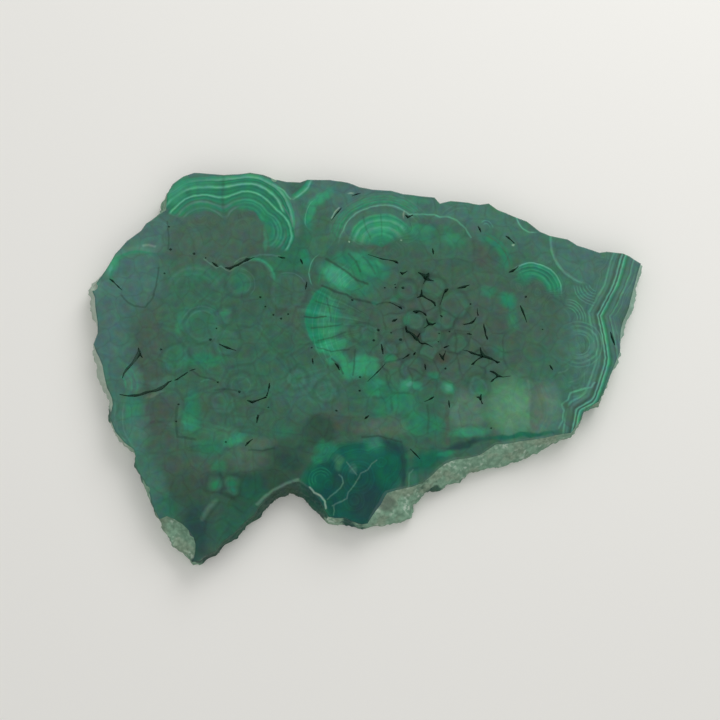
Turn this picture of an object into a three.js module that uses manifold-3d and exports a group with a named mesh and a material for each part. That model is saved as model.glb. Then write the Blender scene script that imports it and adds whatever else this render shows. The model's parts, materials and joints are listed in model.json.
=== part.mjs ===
// A slice of malachite: one slab of banded green stone, sawn flat on both faces and polished on
// the upper one. Its edge is left as it broke and weathered, so it flares out below the polish in
// a rough rim, widest along the front where a crust of pale matrix still clings to the stone.
// Millimetres, +X along the slab's length, +Z up out of the polished face. The origin is at the
// middle of the underside's box.
import * as THREE from "three";
import { ImprovedNoise } from "three/addons/math/ImprovedNoise.js";
import { mergeVertices } from "three/addons/utils/BufferGeometryUtils.js";
import Module from "manifold-3d";

// Driving dimensions.
const THICKNESS = 8; // sawn underside to polished face
const ARRIS = 0.25; // soft corner all round the polished face
const EDGE_STEP = 1.9; // spacing of the points along the edge
const LUMP_HEIGHT = 0.7; // how far the rough rim's lumps stand out
const LUMP_LENGTH = 6; // and how far apart they are
const CRUMB_HEIGHT = 0.5; // the finer breakage on top of the lumps
const CRUMB_LENGTH = 2.3;
const ARRIS_RAGGED = 0.2; // share of that roughness that reaches the polished edge
const FULLY_RAGGED_DEPTH = 0.33; // share of the thickness below which the breakage is full
const WIDEST_DEPTH = 0.75; // share of the thickness at which the rim stands out furthest
const OUTWARD_SPAN = 3; // edge points either side that set which way is out of the stone
const CUT_ABOVE = 0.5; // how far every cutter starts above the polished face
const LIP_SHARE = 0.3; // share of a crack's width that is dark lip, level with the polish, not open
const CRACK_DEEPENING = 1.5; // depth of an open crack for each millimetre of its whole width
const PIT_DEEPENING = 0.9; // and of a small pit
const PIT_SQUASH = 0.85;
const PIT_SIDES = 7;
const CHIP_UNEVENNESS = 0.12; // share of a chip's size by which its scoop is uneven
const CHIP_WAVES = 2.5; // and how quickly that unevenness changes over it
const SMALL_CHIP_SHAPE = { along: 0.5, across: 0.38, depth: 0.33, turn: 10 };
const STONE_GREEN = 0x2f6a52;
const POLISH_ROUGHNESS = 0.25;

// How deep below the polished face, as a share of the thickness, each ring of edge points lies.
const RING_DEPTHS = [0, ARRIS / THICKNESS, 0.17, 0.38, 0.6, 0.82, 1];

// The edge of the polished face, clockwise from the bump on the left: x, y and then, where the
// rough rim shows below it, how far the rim stands out in x and in y.
const EDGE = [
  [-73.3, 5.1, -0.2, 0],
  [-72.3, 8, -0.8, 0],
  [-72.3, 11, -1.5, 0],
  [-73, 15.3, -2.3, 0],
  [-73.2, 17.8, -2.3, 0.2],
  [-73.9, 19.5, -2.2, 0.4],
  [-73.2, 21.5, -1.9, 0.9],
  [-70.7, 25.3, -0.9, 0.7],
  [-68.2, 30],
  [-65, 33.6],
  [-61.4, 36.6],
  [-60.1, 38.6],
  [-57.3, 40.6, -0.4, 0.3],
  [-54.6, 42.2, -2.2, 1.2],
  [-54.4, 44.5, -2.8, 0.6],
  [-54.4, 46.8, -1.4, 0.5],
  [-53, 49.7],
  [-50.1, 51.9],
  [-47.2, 53],
  [-43.9, 52.8],
  [-39, 52.4],
  [-35, 52.6],
  [-31.8, 53],
  [-28.2, 52.4],
  [-25.4, 51.3],
  [-21.8, 50.4],
  [-18, 50.2],
  [-16, 51],
  [-9.9, 51],
  [-5, 50.2],
  [-1.8, 48.9],
  [1.8, 48.2],
  [6.9, 47.9],
  [10.1, 46.9],
  [14.9, 46.4],
  [18.8, 45.9],
  [20.3, 44.2, -0.2, 0.4],
  [23.3, 45],
  [28, 44.5],
  [31.1, 43.9],
  [33.7, 44.3],
  [36.1, 42.5],
  [40, 40.7],
  [44, 39.1],
  [47.5, 36.3],
  [50.1, 35.2],
  [55, 34.1],
  [57.6, 32.3],
  [61.7, 31],
  [63.5, 30.3],
  [65.8, 30.6],
  [70, 30.1],
  [71.7, 29.3, 0.4, 0.4],
  [74.8, 27.3, 1.1, 0.2],
  [73.8, 24.8, 1.6, -0.2],
  [72.5, 20.4, 1.5, -0.3],
  [71, 15, 1.6, -0.3],
  [69.3, 10.9, 1.2, -0.3],
  [68.7, 9, 1.1, -0.2],
  [68.4, 5.9, 0.5, 0],
  [68.3, 3, 0.4, 0],
  [66.9, -0.4, 0.4, -0.2],
  [65.3, -4.3, 0.4, -0.2],
  [63.6, -8, 0.4, -0.2],
  [62.2, -10.6, 0.3, -0.3],
  [60.3, -11.7, 0, 0],
  [58.6, -12.3, 0, 0],
  [57.2, -15.6, 0.5, -0.3],
  [56.3, -16.6, 0.5, -0.3],
  [54.6, -19, 0.4, -0.8],
  [50.5, -19.5, 0, -1.6],
  [47.6, -20.2, 0.2, -2.6],
  [44, -20.6, 0.4, -4],
  [41, -20.9, 0.4, -4.9],
  [37.2, -21.6, 0.4, -5.2],
  [34.6, -21.6, 0.3, -6.4],
  [32.4, -23.2, 0.4, -4.9],
  [30.2, -24.7, 0.2, -3.7],
  [28.3, -25.2, 0, -3.2],
  [26.2, -25.6, 0.2, -4.6],
  [23.7, -25.8, 0.6, -6],
  [21.4, -26.6, 0.6, -5.9],
  [19.2, -28.2, 0.8, -5.4],
  [17.5, -30.1, 0.4, -3.9],
  [15, -32.2, 0.6, -2.4],
  [12, -33.2, 2, -3.2],
  [8, -34, 5.2, -3.8],
  [5.2, -34.6, 7.6, -5],
  [4.5, -35.5, 7.6, -5.6],
  [3.5, -37.8, 6.8, -4.2],
  [2.2, -39.6, 6, -3],
  [1, -41.6, 4, -1.5],
  [0.3, -43, 1.8, -0.7],
  [-1.2, -43.3, 0.2, -0.7],
  [-4.2, -42.2, 0, -1],
  [-5.5, -41.5, -0.2, -1.6],
  [-8, -41.5, -0.4, -1.7],
  [-9.8, -41.2, -0.6, -1.1],
  [-10.8, -39.5, -1.2, -0.8],
  [-12.8, -35.8, -1.9, -2.2],
  [-14.6, -34, -1.6, -2.6],
  [-17.5, -31.8, -0.8, -3.4],
  [-19.5, -32, -0.2, -2.8],
  [-22.3, -33.3, 0.3, -2],
  [-24.5, -34.6, 0.5, -1.4],
  [-26.4, -36.3, 0.6, -1.2],
  [-28.3, -38.7, 0.5, -1],
  [-29.6, -40.9, 0.4, -0.7],
  [-31.5, -42.2, 0.3, -0.5],
  [-34.8, -45.7, 0.3, -0.5],
  [-38, -48, 0.1, -0.2],
  [-39.4, -50.1],
  [-42.4, -51.6],
  [-43.9, -52.9],
  [-45.6, -53.1, -0.3, 0],
  [-47.4, -51, -0.8, 0],
  [-50.1, -48.4, -1.1, -0.1],
  [-52.8, -44.6, -1, -0.1],
  [-54.9, -41, -0.9, 0],
  [-56, -39.1, -0.9, 0],
  [-57.4, -34.6, -0.9, 0],
  [-58.4, -32.3, -0.9, 0],
  [-60.6, -28.8, -0.6, 0],
  [-61.2, -27, -0.6, 0],
  [-61.1, -25.2, -0.6, 0],
  [-61.8, -23.4, -0.6, -0.2],
  [-64.4, -21.6, -0.6, -0.3],
  [-66.7, -18.8, -0.7, -0.2],
  [-68.2, -15, -0.8, 0],
  [-67.6, -11.4, -1.2, 0],
  [-67.8, -9.8, -1.3, 0],
  [-69.3, -6.9, -2, 0],
  [-70.1, -3.2, -2.8, 0],
  [-70.5, -0.9, -3, 0],
  [-71.4, 1.1, -2.6, 0],
  [-72.4, 3, -1.8, 0],
];

// The big chip knocked out of the polished edge at the front left corner.
const CHIP = { x: -50.6, y: -47.9, along: 7.4, across: 4.9, depth: 2.6, turn: -52 };

// Smaller chips round the edge: x, y, size.
const SMALL_CHIPS = [
  [-25.2, 51.6, 2.6],
  [-58.2, -34, 2.4],
  [-74.2, 21, 3.2],
  [-56.1, 43.6, 2.6],
];

// Open cracks, each a line of x, y and whole width across the polished face. The cut is a notch that
// is deeper where it is wider, and it closes at both ends.
const CRACKS = [
  // The two long tears near the left edge.
  [[-61.2, 4, 0.3], [-60.9, 2.6, 1.7], [-61.7, 1.2, 1.4], [-62.8, -0.4, 0.9], [-64.1, -1.8, 1.1],
    [-64.9, -3, 0.7], [-65.3, -4.4, 0.3]],
  [[-60, 1.2, 0.3], [-60.6, 1.9, 1], [-60.9, 3, 0.5]],
  [[-65.9, -8.7, 0.3], [-63.8, -9.1, 0.5], [-61.8, -9, 1.2], [-60.4, -8.8, 0.9], [-58.9, -8.2, 1.2],
    [-57.5, -7.9, 0.7]],
  [[-57.9, -8, 0.7], [-56.1, -7.6, 1.1], [-55, -7.1, 1.5], [-53.9, -6.4, 1], [-52.9, -5.4, 0.8],
    [-52, -5, 0.3]],
  [[-51.3, -4.9, 0.3], [-50.5, -4.6, 0.7], [-49.6, -3.9, 0.4], [-48.8, -3.4, 0.6], [-47.8, -2.7, 0.3]],
  [[-47.3, -2.4, 0.2], [-46.5, -2, 0.4], [-45.7, -1.8, 0.2]],
  // The seam below the twin lobes, and the tear in the corner left of them.
  [[-41.8, 27.6, 0.3], [-40.9, 26.9, 1.1], [-40.1, 26.3, 0.3]],
  [[-38.3, 26.1, 0.3], [-36.9, 25.9, 1.2], [-35.8, 26.5, 0.8], [-34.5, 27, 1]],
  [[-34.8, 26.9, 0.9], [-33.3, 27.8, 0.7], [-32.3, 28.4, 1.4], [-31.4, 28.6, 0.5], [-30.3, 29, 0.2]],
  [[-23.9, 29.2, 0.3], [-22.8, 28.9, 0.8], [-21.9, 28.8, 0.3]],
  [[-69.6, 23, 0.3], [-68.8, 22.5, 0.9], [-68, 21.7, 0.3], [-67.1, 20.8, 0.6], [-66, 19.8, 0.2]],
  [[-39.5, 5, 0.3], [-38.3, 4.4, 0.6], [-37.3, 4, 1], [-36.1, 3.6, 0.4], [-34.9, 3.2, 0.2]],
  // The three-armed tear left of the middle.
  [[-31.8, -10.3, 0.3], [-30.4, -10.8, 1.2], [-29.2, -10.4, 0.6], [-27.9, -9.9, 0.5],
    [-26.6, -9.4, 0.8]],
  [[-26.6, -9.2, 0.7], [-26.2, -8, 0.3], [-25.9, -6.5, 0.9], [-25.9, -5.6, 0.3]],
  [[-28.7, -14.2, 0.8], [-29, -15.2, 1], [-29.1, -16.4, 0.3]],
  [[-32.1, -22.6, 0.3], [-31.5, -21.8, 1], [-30.8, -21.2, 0.5], [-30.1, -20.7, 0.2]],
  // Gashes near the back edge.
  [[-9.4, 39.4, 0.2], [-8.4, 40.8, 0.4], [-7.6, 41.8, 0.6], [-6.6, 43, 0.2]],
  [[-3.8, 46.3, 0.2], [-2.5, 46.8, 0.6], [-1.4, 47.1, 0.2]],
  [[0.6, 29.8, 0.2], [3, 29, 0.3], [4.5, 28.5, 0.5], [6.1, 28.3, 0.3], [7.5, 28, 0.6],
    [8.3, 27.7, 1.1], [8.8, 27.3, 0.4]],
  [[38.1, 35, 0.3], [38.9, 34.5, 0.9], [39.7, 33.7, 0.4], [40.5, 32.9, 0.5]],
  [[38.8, 24.8, 0.4], [39.8, 25.2, 1.1], [40.8, 25.9, 0.4], [41.5, 26.6, 0.2]],
  [[30.6, 37.8, 0.3], [31.1, 36.9, 0.8], [31.4, 36, 0.3]],
  // The open star cavities among the columns in the middle.
  [[10.8, 40.9, 0.4], [11.5, 40.3, 1.2], [12.1, 40.6, 0.8], [12.9, 40.9, 0.3]],
  [[9.3, 24.9, 0.4], [9.9, 24.4, 1.2], [10.5, 24.7, 0.5], [11.3, 25.2, 0.2]],
  [[14.2, 24.8, 0.4], [15.3, 24.2, 1], [16.2, 23.6, 2.3], [16.9, 22.8, 1.2], [17.6, 22.6, 0.6],
    [18.4, 22.4, 0.3]],
  [[17.1, 24.7, 0.3], [16.8, 24.1, 1.5], [16.4, 23.2, 1.4], [15.9, 22.2, 0.6], [15.5, 21.5, 0.2]],
  [[15.1, 20, 0.3], [15.1, 19.2, 0.7], [15, 18.4, 1.4], [14.5, 18, 0.7], [13.8, 17.8, 0.3]],
  [[15.2, 18.4, 1], [16.5, 17.5, 0.5], [17.7, 16.9, 0.7], [18.5, 16.3, 1], [18.8, 15.4, 0.6]],
  [[22.3, 20.2, 0.5], [21.7, 19.8, 1.3], [21.1, 18.9, 0.6], [20.6, 17.4, 0.3], [20, 15.7, 0.2]],
  [[24.8, 20.4, 0.3], [25.9, 20.6, 0.9], [26.8, 20.8, 1.1], [27.4, 21.1, 0.5], [28.1, 21.3, 0.3]],
  [[6.2, 16.5, 0.2], [7.5, 16, 0.3], [8.6, 15.4, 0.4], [9.4, 15, 0.9], [9.8, 14.5, 0.3]],
  [[12.7, 14, 0.4], [13.6, 13.8, 1.4], [14.4, 14.1, 0.6], [15.2, 13.8, 0.3], [16, 13.2, 0.9],
    [16.3, 12.7, 0.3]],
  [[16.3, 12, 0.3], [16.6, 11.1, 0.7], [17, 10.5, 1.4], [18, 10.4, 0.9], [18.9, 10.8, 0.3]],
  [[17, 10.4, 0.8], [16.3, 9.8, 0.3], [15.5, 9.3, 0.2]],
  [[20, 12.9, 0.3], [20.4, 12.7, 0.7], [20.7, 12.4, 0.3]],
  [[7, 11.2, 0.4], [7.7, 11.5, 1.1], [8.5, 11.9, 0.3]],
  [[10.8, 9.9, 0.4], [10.8, 9.2, 0.8], [11, 8.5, 1.1], [11.9, 8.1, 0.8], [12.7, 7.5, 1.2],
    [13.3, 6.7, 1.5], [14, 6.1, 1.2]],
  [[13.7, 6.4, 0.9], [14.1, 7.3, 0.6], [14.6, 8, 0.3]],
  [[13.9, 6.3, 0.8], [14.5, 5.4, 0.6], [15.1, 5.1, 0.7], [16, 5.2, 0.7], [17, 4.7, 0.3],
    [18, 4.1, 0.2]],
  [[20.9, 4, 0.6], [21.5, 4.2, 0.7], [22.4, 4.6, 0.2]],
  [[19.7, 2.4, 0.3], [20.1, 1.8, 0.7], [20.6, 1.2, 1.3], [20.9, 0.5, 0.4]],
  [[20.6, 1.3, 0.9], [21.2, 2.4, 0.4], [21.4, 3.2, 0.2]],
  [[15.8, -0.4, 0.3], [15.9, -1.2, 0.8], [16, -2.1, 0.3]],
  [[9.8, 0.9, 0.2], [10.7, 1.5, 0.5], [11.3, 1.9, 0.8], [11.7, 2.3, 0.3]],
  [[12.7, 1.9, 0.3], [13, 2.3, 0.9], [13.3, 2.8, 0.3]],
  [[4.1, 5, 0.4], [4.4, 3.6, 0.9], [4.6, 2.2, 0.4]],
  [[5.2, -0.3, 0.2], [4.1, -1.6, 0.3], [3, -2.7, 0.6], [1.9, -3.8, 0.3], [0.4, -5.2, 0.2]],
  [[-8.4, -0.2, 0.3], [-7.6, -1, 1], [-7.1, -2.2, 0.3]],
  [[-0.4, -15.4, 0.3], [0, -15, 1], [0.8, -14.4, 0.3]],
  [[-14.4, 1.1, 0.3], [-14.3, 0.3, 0.7], [-14.2, -0.5, 0.3]],
  [[29.8, 12.4, 0.2], [29.2, 11.4, 0.7], [28.6, 10.9, 1], [27.7, 10.6, 0.5], [26.6, 10.4, 0.5],
    [26.1, 10.5, 0.2]],
  [[30.1, 14.8, 0.2], [30.1, 13.7, 0.4], [30.3, 12.8, 0.6]],
  [[31.8, 10.6, 0.3], [31.8, 9.9, 0.6], [32.1, 8.8, 0.9], [32.2, 7.6, 0.5], [32.6, 6.7, 0.8],
    [32.8, 6.2, 0.3]],
  [[27.1, 7.8, 0.3], [27.8, 7.8, 0.7], [28.5, 7.6, 0.3]],
  [[30.7, 4.1, 0.3], [30.9, 3, 0.8], [31.4, 1.8, 1.7], [32.4, 1.4, 1], [33.4, 1.1, 1.1],
    [34.5, 0.5, 0.5], [35.3, 0, 1.1], [36, 0.1, 0.3]],
  [[26, 3.4, 0.2], [27.4, 3.1, 0.3], [28.4, 2.6, 1], [29.8, 2.1, 0.6], [31.2, 1.8, 1.3]],
  [[31.2, 1.5, 1], [30, 0.8, 0.4], [29.2, 0.1, 0.6], [28.8, -0.4, 1], [28.2, -0.6, 0.3]],
  [[33.2, -2.4, 0.4], [34, -2.6, 0.9], [34.7, -3, 0.8], [35.4, -3.7, 1.1], [36.8, -4, 0.3],
    [38.8, -3.7, 0.2]],
  [[35.3, -3.8, 0.9], [34.5, -4.4, 0.4], [33.9, -4.9, 0.8], [33.4, -5.4, 0.3]],
  [[29.5, -9.4, 0.3], [30.2, -9.5, 0.9], [30.6, -9.8, 1.3], [30.8, -10.5, 0.4], [31.1, -11.3, 0.6]],
  [[30.6, -9.6, 0.9], [30.8, -8.6, 0.4]],
  [[22.1, -10.3, 0.3], [22.2, -11.3, 0.8], [22.3, -12.3, 0.3]],
  [[15.6, -10.7, 0.2], [16.7, -10.2, 0.4], [17.6, -9.7, 0.9], [18.2, -9.3, 0.3]],
  [[43.4, 10.9, 0.2], [42.9, 12.5, 0.5], [42.3, 14.2, 0.9], [41.7, 15.6, 0.4]],
  [[49.3, -0.7, 0.4], [49.7, -1.4, 0.8], [50.1, -2.1, 0.3]],
  [[18.1, 31.5, 0.3], [18.3, 30.6, 0.8], [18.4, 29.8, 0.3]],
  [[-17.9, 28.6, 0.3], [-17.5, 27.9, 0.9], [-17.2, 27.1, 0.4]],
  [[-16, 22.2, 0.3], [-16.2, 21, 0.7], [-16.4, 20, 0.3]],
  [[11.7, -23.3, 0.2], [13, -24.6, 0.7], [14.3, -26, 0.2]],
  [[65.9, 8.4, 0.3], [66.2, 7, 0.9], [66.7, 5.6, 0.9], [67, 4.6, 0.3]],
];

// Small pits: x, y, width.
const PITS = [
  [-55.1, 3.5, 0.8], [-41.9, 6.2, 1], [-40.3, 9.3, 0.6], [-39.7, -5.4, 0.8], [-33.9, -8, 1],
  [-50.1, -11.4, 0.7], [-28.6, 17.9, 0.8], [-27.2, 15.3, 0.6], [-46.8, 30, 0.9], [-43.6, 28.8, 0.6],
  [-53.2, 31.2, 0.9], [-53.8, 37.6, 0.7], [-54.7, 24.5, 0.7], [-25, 13, 0.7], [-22.9, 12, 0.8],
  [-21, 13.2, 0.7], [-14.6, 4, 0.6], [-1.6, -4, 0.8], [-1.7, -7.7, 0.8], [-7.9, -13.1, 0.8],
  [-37.3, -21.5, 0.7], [-50.6, -16, 0.6], [-26.1, -12.2, 0.6], [5.1, 20.5, 0.6], [7.9, 21.4, 0.5],
  [8, 20.6, 0.6], [10, 20.5, 1], [-3.7, 17.1, 0.8], [3.3, 8.8, 1], [2.1, 6, 0.9], [6.8, 8.1, 0.6],
  [9.3, 6.2, 1.1], [28.3, 16, 0.6], [22.5, 8.4, 0.6], [19.7, 7.9, 0.6], [19.5, 5.6, 0.5],
  [21.3, -1.7, 0.8], [33.3, -17.8, 0.6], [43.3, 18, 0.8], [47.6, 9, 0.5],
];

const wasm = await Module();
wasm.setup();

const roughness = new ImprovedNoise();

// A three.js geometry as a solid that can be joined and cut.
function toSolid(geometry) {
  const bare = geometry.clone();
  bare.deleteAttribute("normal");
  bare.deleteAttribute("uv");
  const merged = mergeVertices(bare, 1e-4);
  const mesh = new wasm.Mesh({
    numProp: 3,
    vertProperties: merged.attributes.position.array,
    triVerts: new Uint32Array(merged.index.array),
  });
  return new wasm.Manifold(mesh);
}

// A solid as a three.js geometry with flat faces.
function toGeometry(solid) {
  const mesh = solid.getMesh();
  const positions = new THREE.BufferAttribute(new Float32Array(mesh.vertProperties), 3);
  const geometry = new THREE.BufferGeometry().setAttribute("position", positions);
  geometry.setIndex(new THREE.BufferAttribute(new Uint32Array(mesh.triVerts), 1));
  const flat = geometry.toNonIndexed();
  flat.computeVertexNormals();
  return flat;
}

// The edge's corner points, with more set evenly between them: place on the polished face, and
// how far the rim stands out from there.
function edgePoints() {
  const points = [];
  EDGE.forEach(([x, y, outX = 0, outY = 0], i) => {
    const [nextX, nextY, nextOutX = 0, nextOutY = 0] = EDGE[(i + 1) % EDGE.length];
    const length = Math.hypot(nextX - x, nextY - y);
    const steps = Math.max(1, Math.round(length / EDGE_STEP));
    for (let k = 0; k < steps; k++) {
      const f = k / steps;
      const place = new THREE.Vector2(x, y).lerp(new THREE.Vector2(nextX, nextY), f);
      const out = new THREE.Vector2(outX, outY).lerp(new THREE.Vector2(nextOutX, nextOutY), f);
      points.push({ place, out });
    }
  });
  return points;
}

// The direction out of the stone at each edge point, evened out over its neighbours.
function outwardDirections(points) {
  return points.map((_, i) => {
    const before = points.at(i - OUTWARD_SPAN).place;
    const after = points[(i + OUTWARD_SPAN) % points.length].place;
    const along = after.clone().sub(before).normalize();
    return new THREE.Vector2(-along.y, along.x);
  });
}

// Share of the rim's reach at a depth: quick below the polish, full low down, a little less at
// the sawn underside.
function rimShare(depth) {
  return Math.sin(((depth / WIDEST_DEPTH) * Math.PI) / 2);
}

// The rough breakage of the edge at one place, along the outward direction.
function raggedness(x, y, z, depth) {
  const lump = roughness.noise(x / LUMP_LENGTH, y / LUMP_LENGTH, z / LUMP_LENGTH);
  const crumb = roughness.noise(x / CRUMB_LENGTH, y / CRUMB_LENGTH, z / CRUMB_LENGTH);
  const share = THREE.MathUtils.clamp(depth / FULLY_RAGGED_DEPTH, ARRIS_RAGGED, 1);
  return share * (lump * LUMP_HEIGHT + crumb * CRUMB_HEIGHT);
}

// The slab before it is chipped and cracked: rings of points down its edge, closed by the
// polished face above and the sawn face below.
function slab() {
  const points = edgePoints();
  const outward = outwardDirections(points);
  const count = points.length;
  const positions = [];
  RING_DEPTHS.forEach((depth, ring) => {
    const z = THICKNESS * (1 - depth);
    points.forEach(({ place, out }, i) => {
      const inset = ring === 0 ? ARRIS : 0;
      const p = place.clone().addScaledVector(out, rimShare(depth));
      p.addScaledVector(outward[i], raggedness(place.x, place.y, z, depth) - inset);
      positions.push(p.x, p.y, z);
    });
  });
  const faces = [];
  for (let ring = 0; ring + 1 < RING_DEPTHS.length; ring++) {
    for (let i = 0; i < count; i++) {
      const a = ring * count + i;
      const b = ring * count + ((i + 1) % count);
      faces.push(a, b, b + count, a, b + count, a + count);
    }
  }
  const ringOutline = (ring) =>
    points.map((_, i) => new THREE.Vector2().fromArray(positions, 3 * (ring * count + i)));
  const last = RING_DEPTHS.length - 1;
  for (const [a, b, c] of THREE.ShapeUtils.triangulateShape(ringOutline(0), [])) {
    faces.push(a, b, c);
  }
  for (const [a, b, c] of THREE.ShapeUtils.triangulateShape(ringOutline(last), [])) {
    faces.push(last * count + a, last * count + c, last * count + b);
  }
  const geometry = new THREE.BufferGeometry();
  geometry.setAttribute("position", new THREE.Float32BufferAttribute(positions, 3));
  geometry.setIndex(faces);
  return toSolid(geometry);
}

// A scooped chip: a rough ellipsoid let into the edge.
function chip({ x, y, along, across, depth, turn }) {
  const geometry = new THREE.IcosahedronGeometry(1, 3);
  const p = new THREE.Vector3();
  const position = geometry.getAttribute("position");
  for (let i = 0; i < position.count; i++) {
    p.fromBufferAttribute(position, i);
    const q = p.clone().multiplyScalar(CHIP_WAVES);
    p.multiplyScalar(1 + CHIP_UNEVENNESS * roughness.noise(q.x + x, q.y + y, q.z));
    position.setXYZ(i, p.x, p.y, p.z);
  }
  geometry.scale(along, across, depth);
  geometry.rotateZ(THREE.MathUtils.degToRad(turn));
  geometry.translate(x, y, THICKNESS);
  return toSolid(geometry);
}

// An open crack: a notch with a sharp bottom along a line of places with widths.
function crack(line) {
  const top = THICKNESS + CUT_ABOVE;
  const positions = [];
  line.forEach(([x, y, width], i) => {
    const [beforeX, beforeY] = line[Math.max(i - 1, 0)];
    const [afterX, afterY] = line[Math.min(i + 1, line.length - 1)];
    const along = new THREE.Vector2(afterX - beforeX, afterY - beforeY).normalize();
    const depth = width * CRACK_DEEPENING;
    const open = width * (1 - LIP_SHARE);
    const half = (0.5 * open * (depth + CUT_ABOVE)) / depth;
    positions.push(x - along.y * half, y + along.x * half, top);
    positions.push(x + along.y * half, y - along.x * half, top);
    positions.push(x, y, THICKNESS - depth);
  });
  const faces = [0, 2, 1];
  for (let i = 0; i + 1 < line.length; i++) {
    const [left, right, low] = [3 * i, 3 * i + 1, 3 * i + 2];
    faces.push(left, right, right + 3, left, right + 3, left + 3);
    faces.push(right, low, low + 3, right, low + 3, right + 3);
    faces.push(low, left, left + 3, low, left + 3, low + 3);
  }
  const end = 3 * (line.length - 1);
  faces.push(end, end + 1, end + 2);
  const geometry = new THREE.BufferGeometry();
  geometry.setAttribute("position", new THREE.Float32BufferAttribute(positions, 3));
  geometry.setIndex(faces);
  return toSolid(geometry);
}

// A small pit: a cone let into the polished face, point down, turned so that no two look alike.
function pit([x, y, width]) {
  const depth = width * PIT_DEEPENING;
  const radius = (0.5 * width * (depth + CUT_ABOVE)) / depth;
  const geometry = new THREE.ConeGeometry(radius, depth + CUT_ABOVE, PIT_SIDES);
  geometry.rotateX(-Math.PI / 2);
  geometry.rotateZ(x + y);
  geometry.scale(1, PIT_SQUASH, 1);
  geometry.translate(x, y, THICKNESS + CUT_ABOVE - (depth + CUT_ABOVE) / 2);
  return toSolid(geometry);
}

// A small chip, turned so that no two look alike.
function smallChip([x, y, size]) {
  const { along, across, depth, turn } = SMALL_CHIP_SHAPE;
  return chip({
    x,
    y,
    along: along * size,
    across: across * size,
    depth: depth * size,
    turn: turn * x,
  });
}

function malachiteSlice() {
  const smallChips = SMALL_CHIPS.map(smallChip);
  const cutters = [chip(CHIP), ...smallChips, ...CRACKS.map(crack), ...PITS.map(pit)];
  const cut = cutters.reduce((solid, cutter) => solid.subtract(cutter), slab());
  const geometry = toGeometry(cut);
  geometry.computeBoundingBox();
  const middle = geometry.boundingBox.getCenter(new THREE.Vector3());
  geometry.translate(-middle.x, -middle.y, 0);
  const material = new THREE.MeshStandardMaterial({
    color: new THREE.Color(STONE_GREEN),
    roughness: POLISH_ROUGHNESS,
    metalness: 0,
    flatShading: true,
  });
  const mesh = new THREE.Mesh(geometry, material);
  mesh.name = "malachite_slice";
  return mesh;
}

const part = new THREE.Group();
part.add(malachiteSlice());

export default part;
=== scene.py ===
import json
import math

import bpy
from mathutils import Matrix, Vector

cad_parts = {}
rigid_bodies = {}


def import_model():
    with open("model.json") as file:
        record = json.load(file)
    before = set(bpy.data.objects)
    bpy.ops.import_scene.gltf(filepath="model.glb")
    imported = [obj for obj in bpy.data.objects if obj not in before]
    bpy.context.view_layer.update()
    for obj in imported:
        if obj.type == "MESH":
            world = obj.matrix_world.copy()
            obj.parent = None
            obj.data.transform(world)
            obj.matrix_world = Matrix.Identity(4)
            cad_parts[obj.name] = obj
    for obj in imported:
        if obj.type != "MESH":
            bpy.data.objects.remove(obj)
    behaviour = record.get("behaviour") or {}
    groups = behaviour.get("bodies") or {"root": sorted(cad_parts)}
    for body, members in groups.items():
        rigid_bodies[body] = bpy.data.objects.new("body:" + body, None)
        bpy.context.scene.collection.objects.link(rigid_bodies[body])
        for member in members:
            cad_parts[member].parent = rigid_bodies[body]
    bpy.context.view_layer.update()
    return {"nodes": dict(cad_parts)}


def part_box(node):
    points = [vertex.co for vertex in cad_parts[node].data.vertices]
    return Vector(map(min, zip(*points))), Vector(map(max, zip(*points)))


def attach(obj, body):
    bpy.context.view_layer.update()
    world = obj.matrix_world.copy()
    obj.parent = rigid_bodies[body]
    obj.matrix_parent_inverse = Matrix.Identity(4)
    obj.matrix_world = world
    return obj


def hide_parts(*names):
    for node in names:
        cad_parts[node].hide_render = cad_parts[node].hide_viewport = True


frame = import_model()

# ---------------------------------------------------------------------------- the slab
# The slice is one piece of grown malachite, sawn flat on both faces and polished on the upper
# one. It starts as a copy of the solid, whose rough rim is then broken up more finely.
MM = 0.001
POLISHED, SAWN, ROUGH, OPEN = range(4)

bpy.ops.object.select_all(action="DESELECT")
slab_low, slab_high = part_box("malachite_slice")
slab = bpy.data.objects.new("slab", frame["nodes"]["malachite_slice"].data.copy())
bpy.context.collection.objects.link(slab)
bpy.context.view_layer.objects.active = slab
slab.select_set(True)
bpy.ops.object.mode_set(mode="EDIT")
bpy.ops.mesh.select_all(action="SELECT")
bpy.ops.mesh.remove_doubles(threshold=0.001 * MM)
bpy.ops.object.mode_set(mode="OBJECT")

slab.data.materials.clear()
for name in ("polished_malachite", "sawn_malachite", "rough_rim", "open_cracks"):
    slab.data.materials.append(bpy.data.materials.new(name))

# A face is polished or sawn when it lies flat and its middle is this near to that plane.
NEAR_POLISH = 0.3 * MM
NEAR_SAW_CUT = 0.1 * MM
for face in slab.data.polygons:
    if face.center.z > slab_high.z - NEAR_POLISH and face.normal.z > 0.5:
        face.material_index = POLISHED
    elif face.center.z < slab_low.z + NEAR_SAW_CUT and face.normal.z < -0.9:
        face.material_index = SAWN
    else:
        face.material_index = OPEN

# The rim is what hangs together with its outermost face; the rest of what isn't flat is cracks.
bpy.ops.object.mode_set(mode="EDIT")
bpy.ops.mesh.select_mode(type="FACE")
bpy.ops.mesh.select_all(action="DESELECT")
bpy.ops.object.mode_set(mode="OBJECT")
upright = [face for face in slab.data.polygons if face.material_index == OPEN]
max(upright, key=lambda face: face.center.x).select = True
bpy.ops.object.mode_set(mode="EDIT")
bpy.ops.mesh.select_linked(delimit={"MATERIAL"})
slab.active_material_index = ROUGH
bpy.ops.object.material_slot_assign()
bpy.ops.mesh.subdivide(number_cuts=3)
bpy.ops.object.mode_set(mode="OBJECT")

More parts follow.
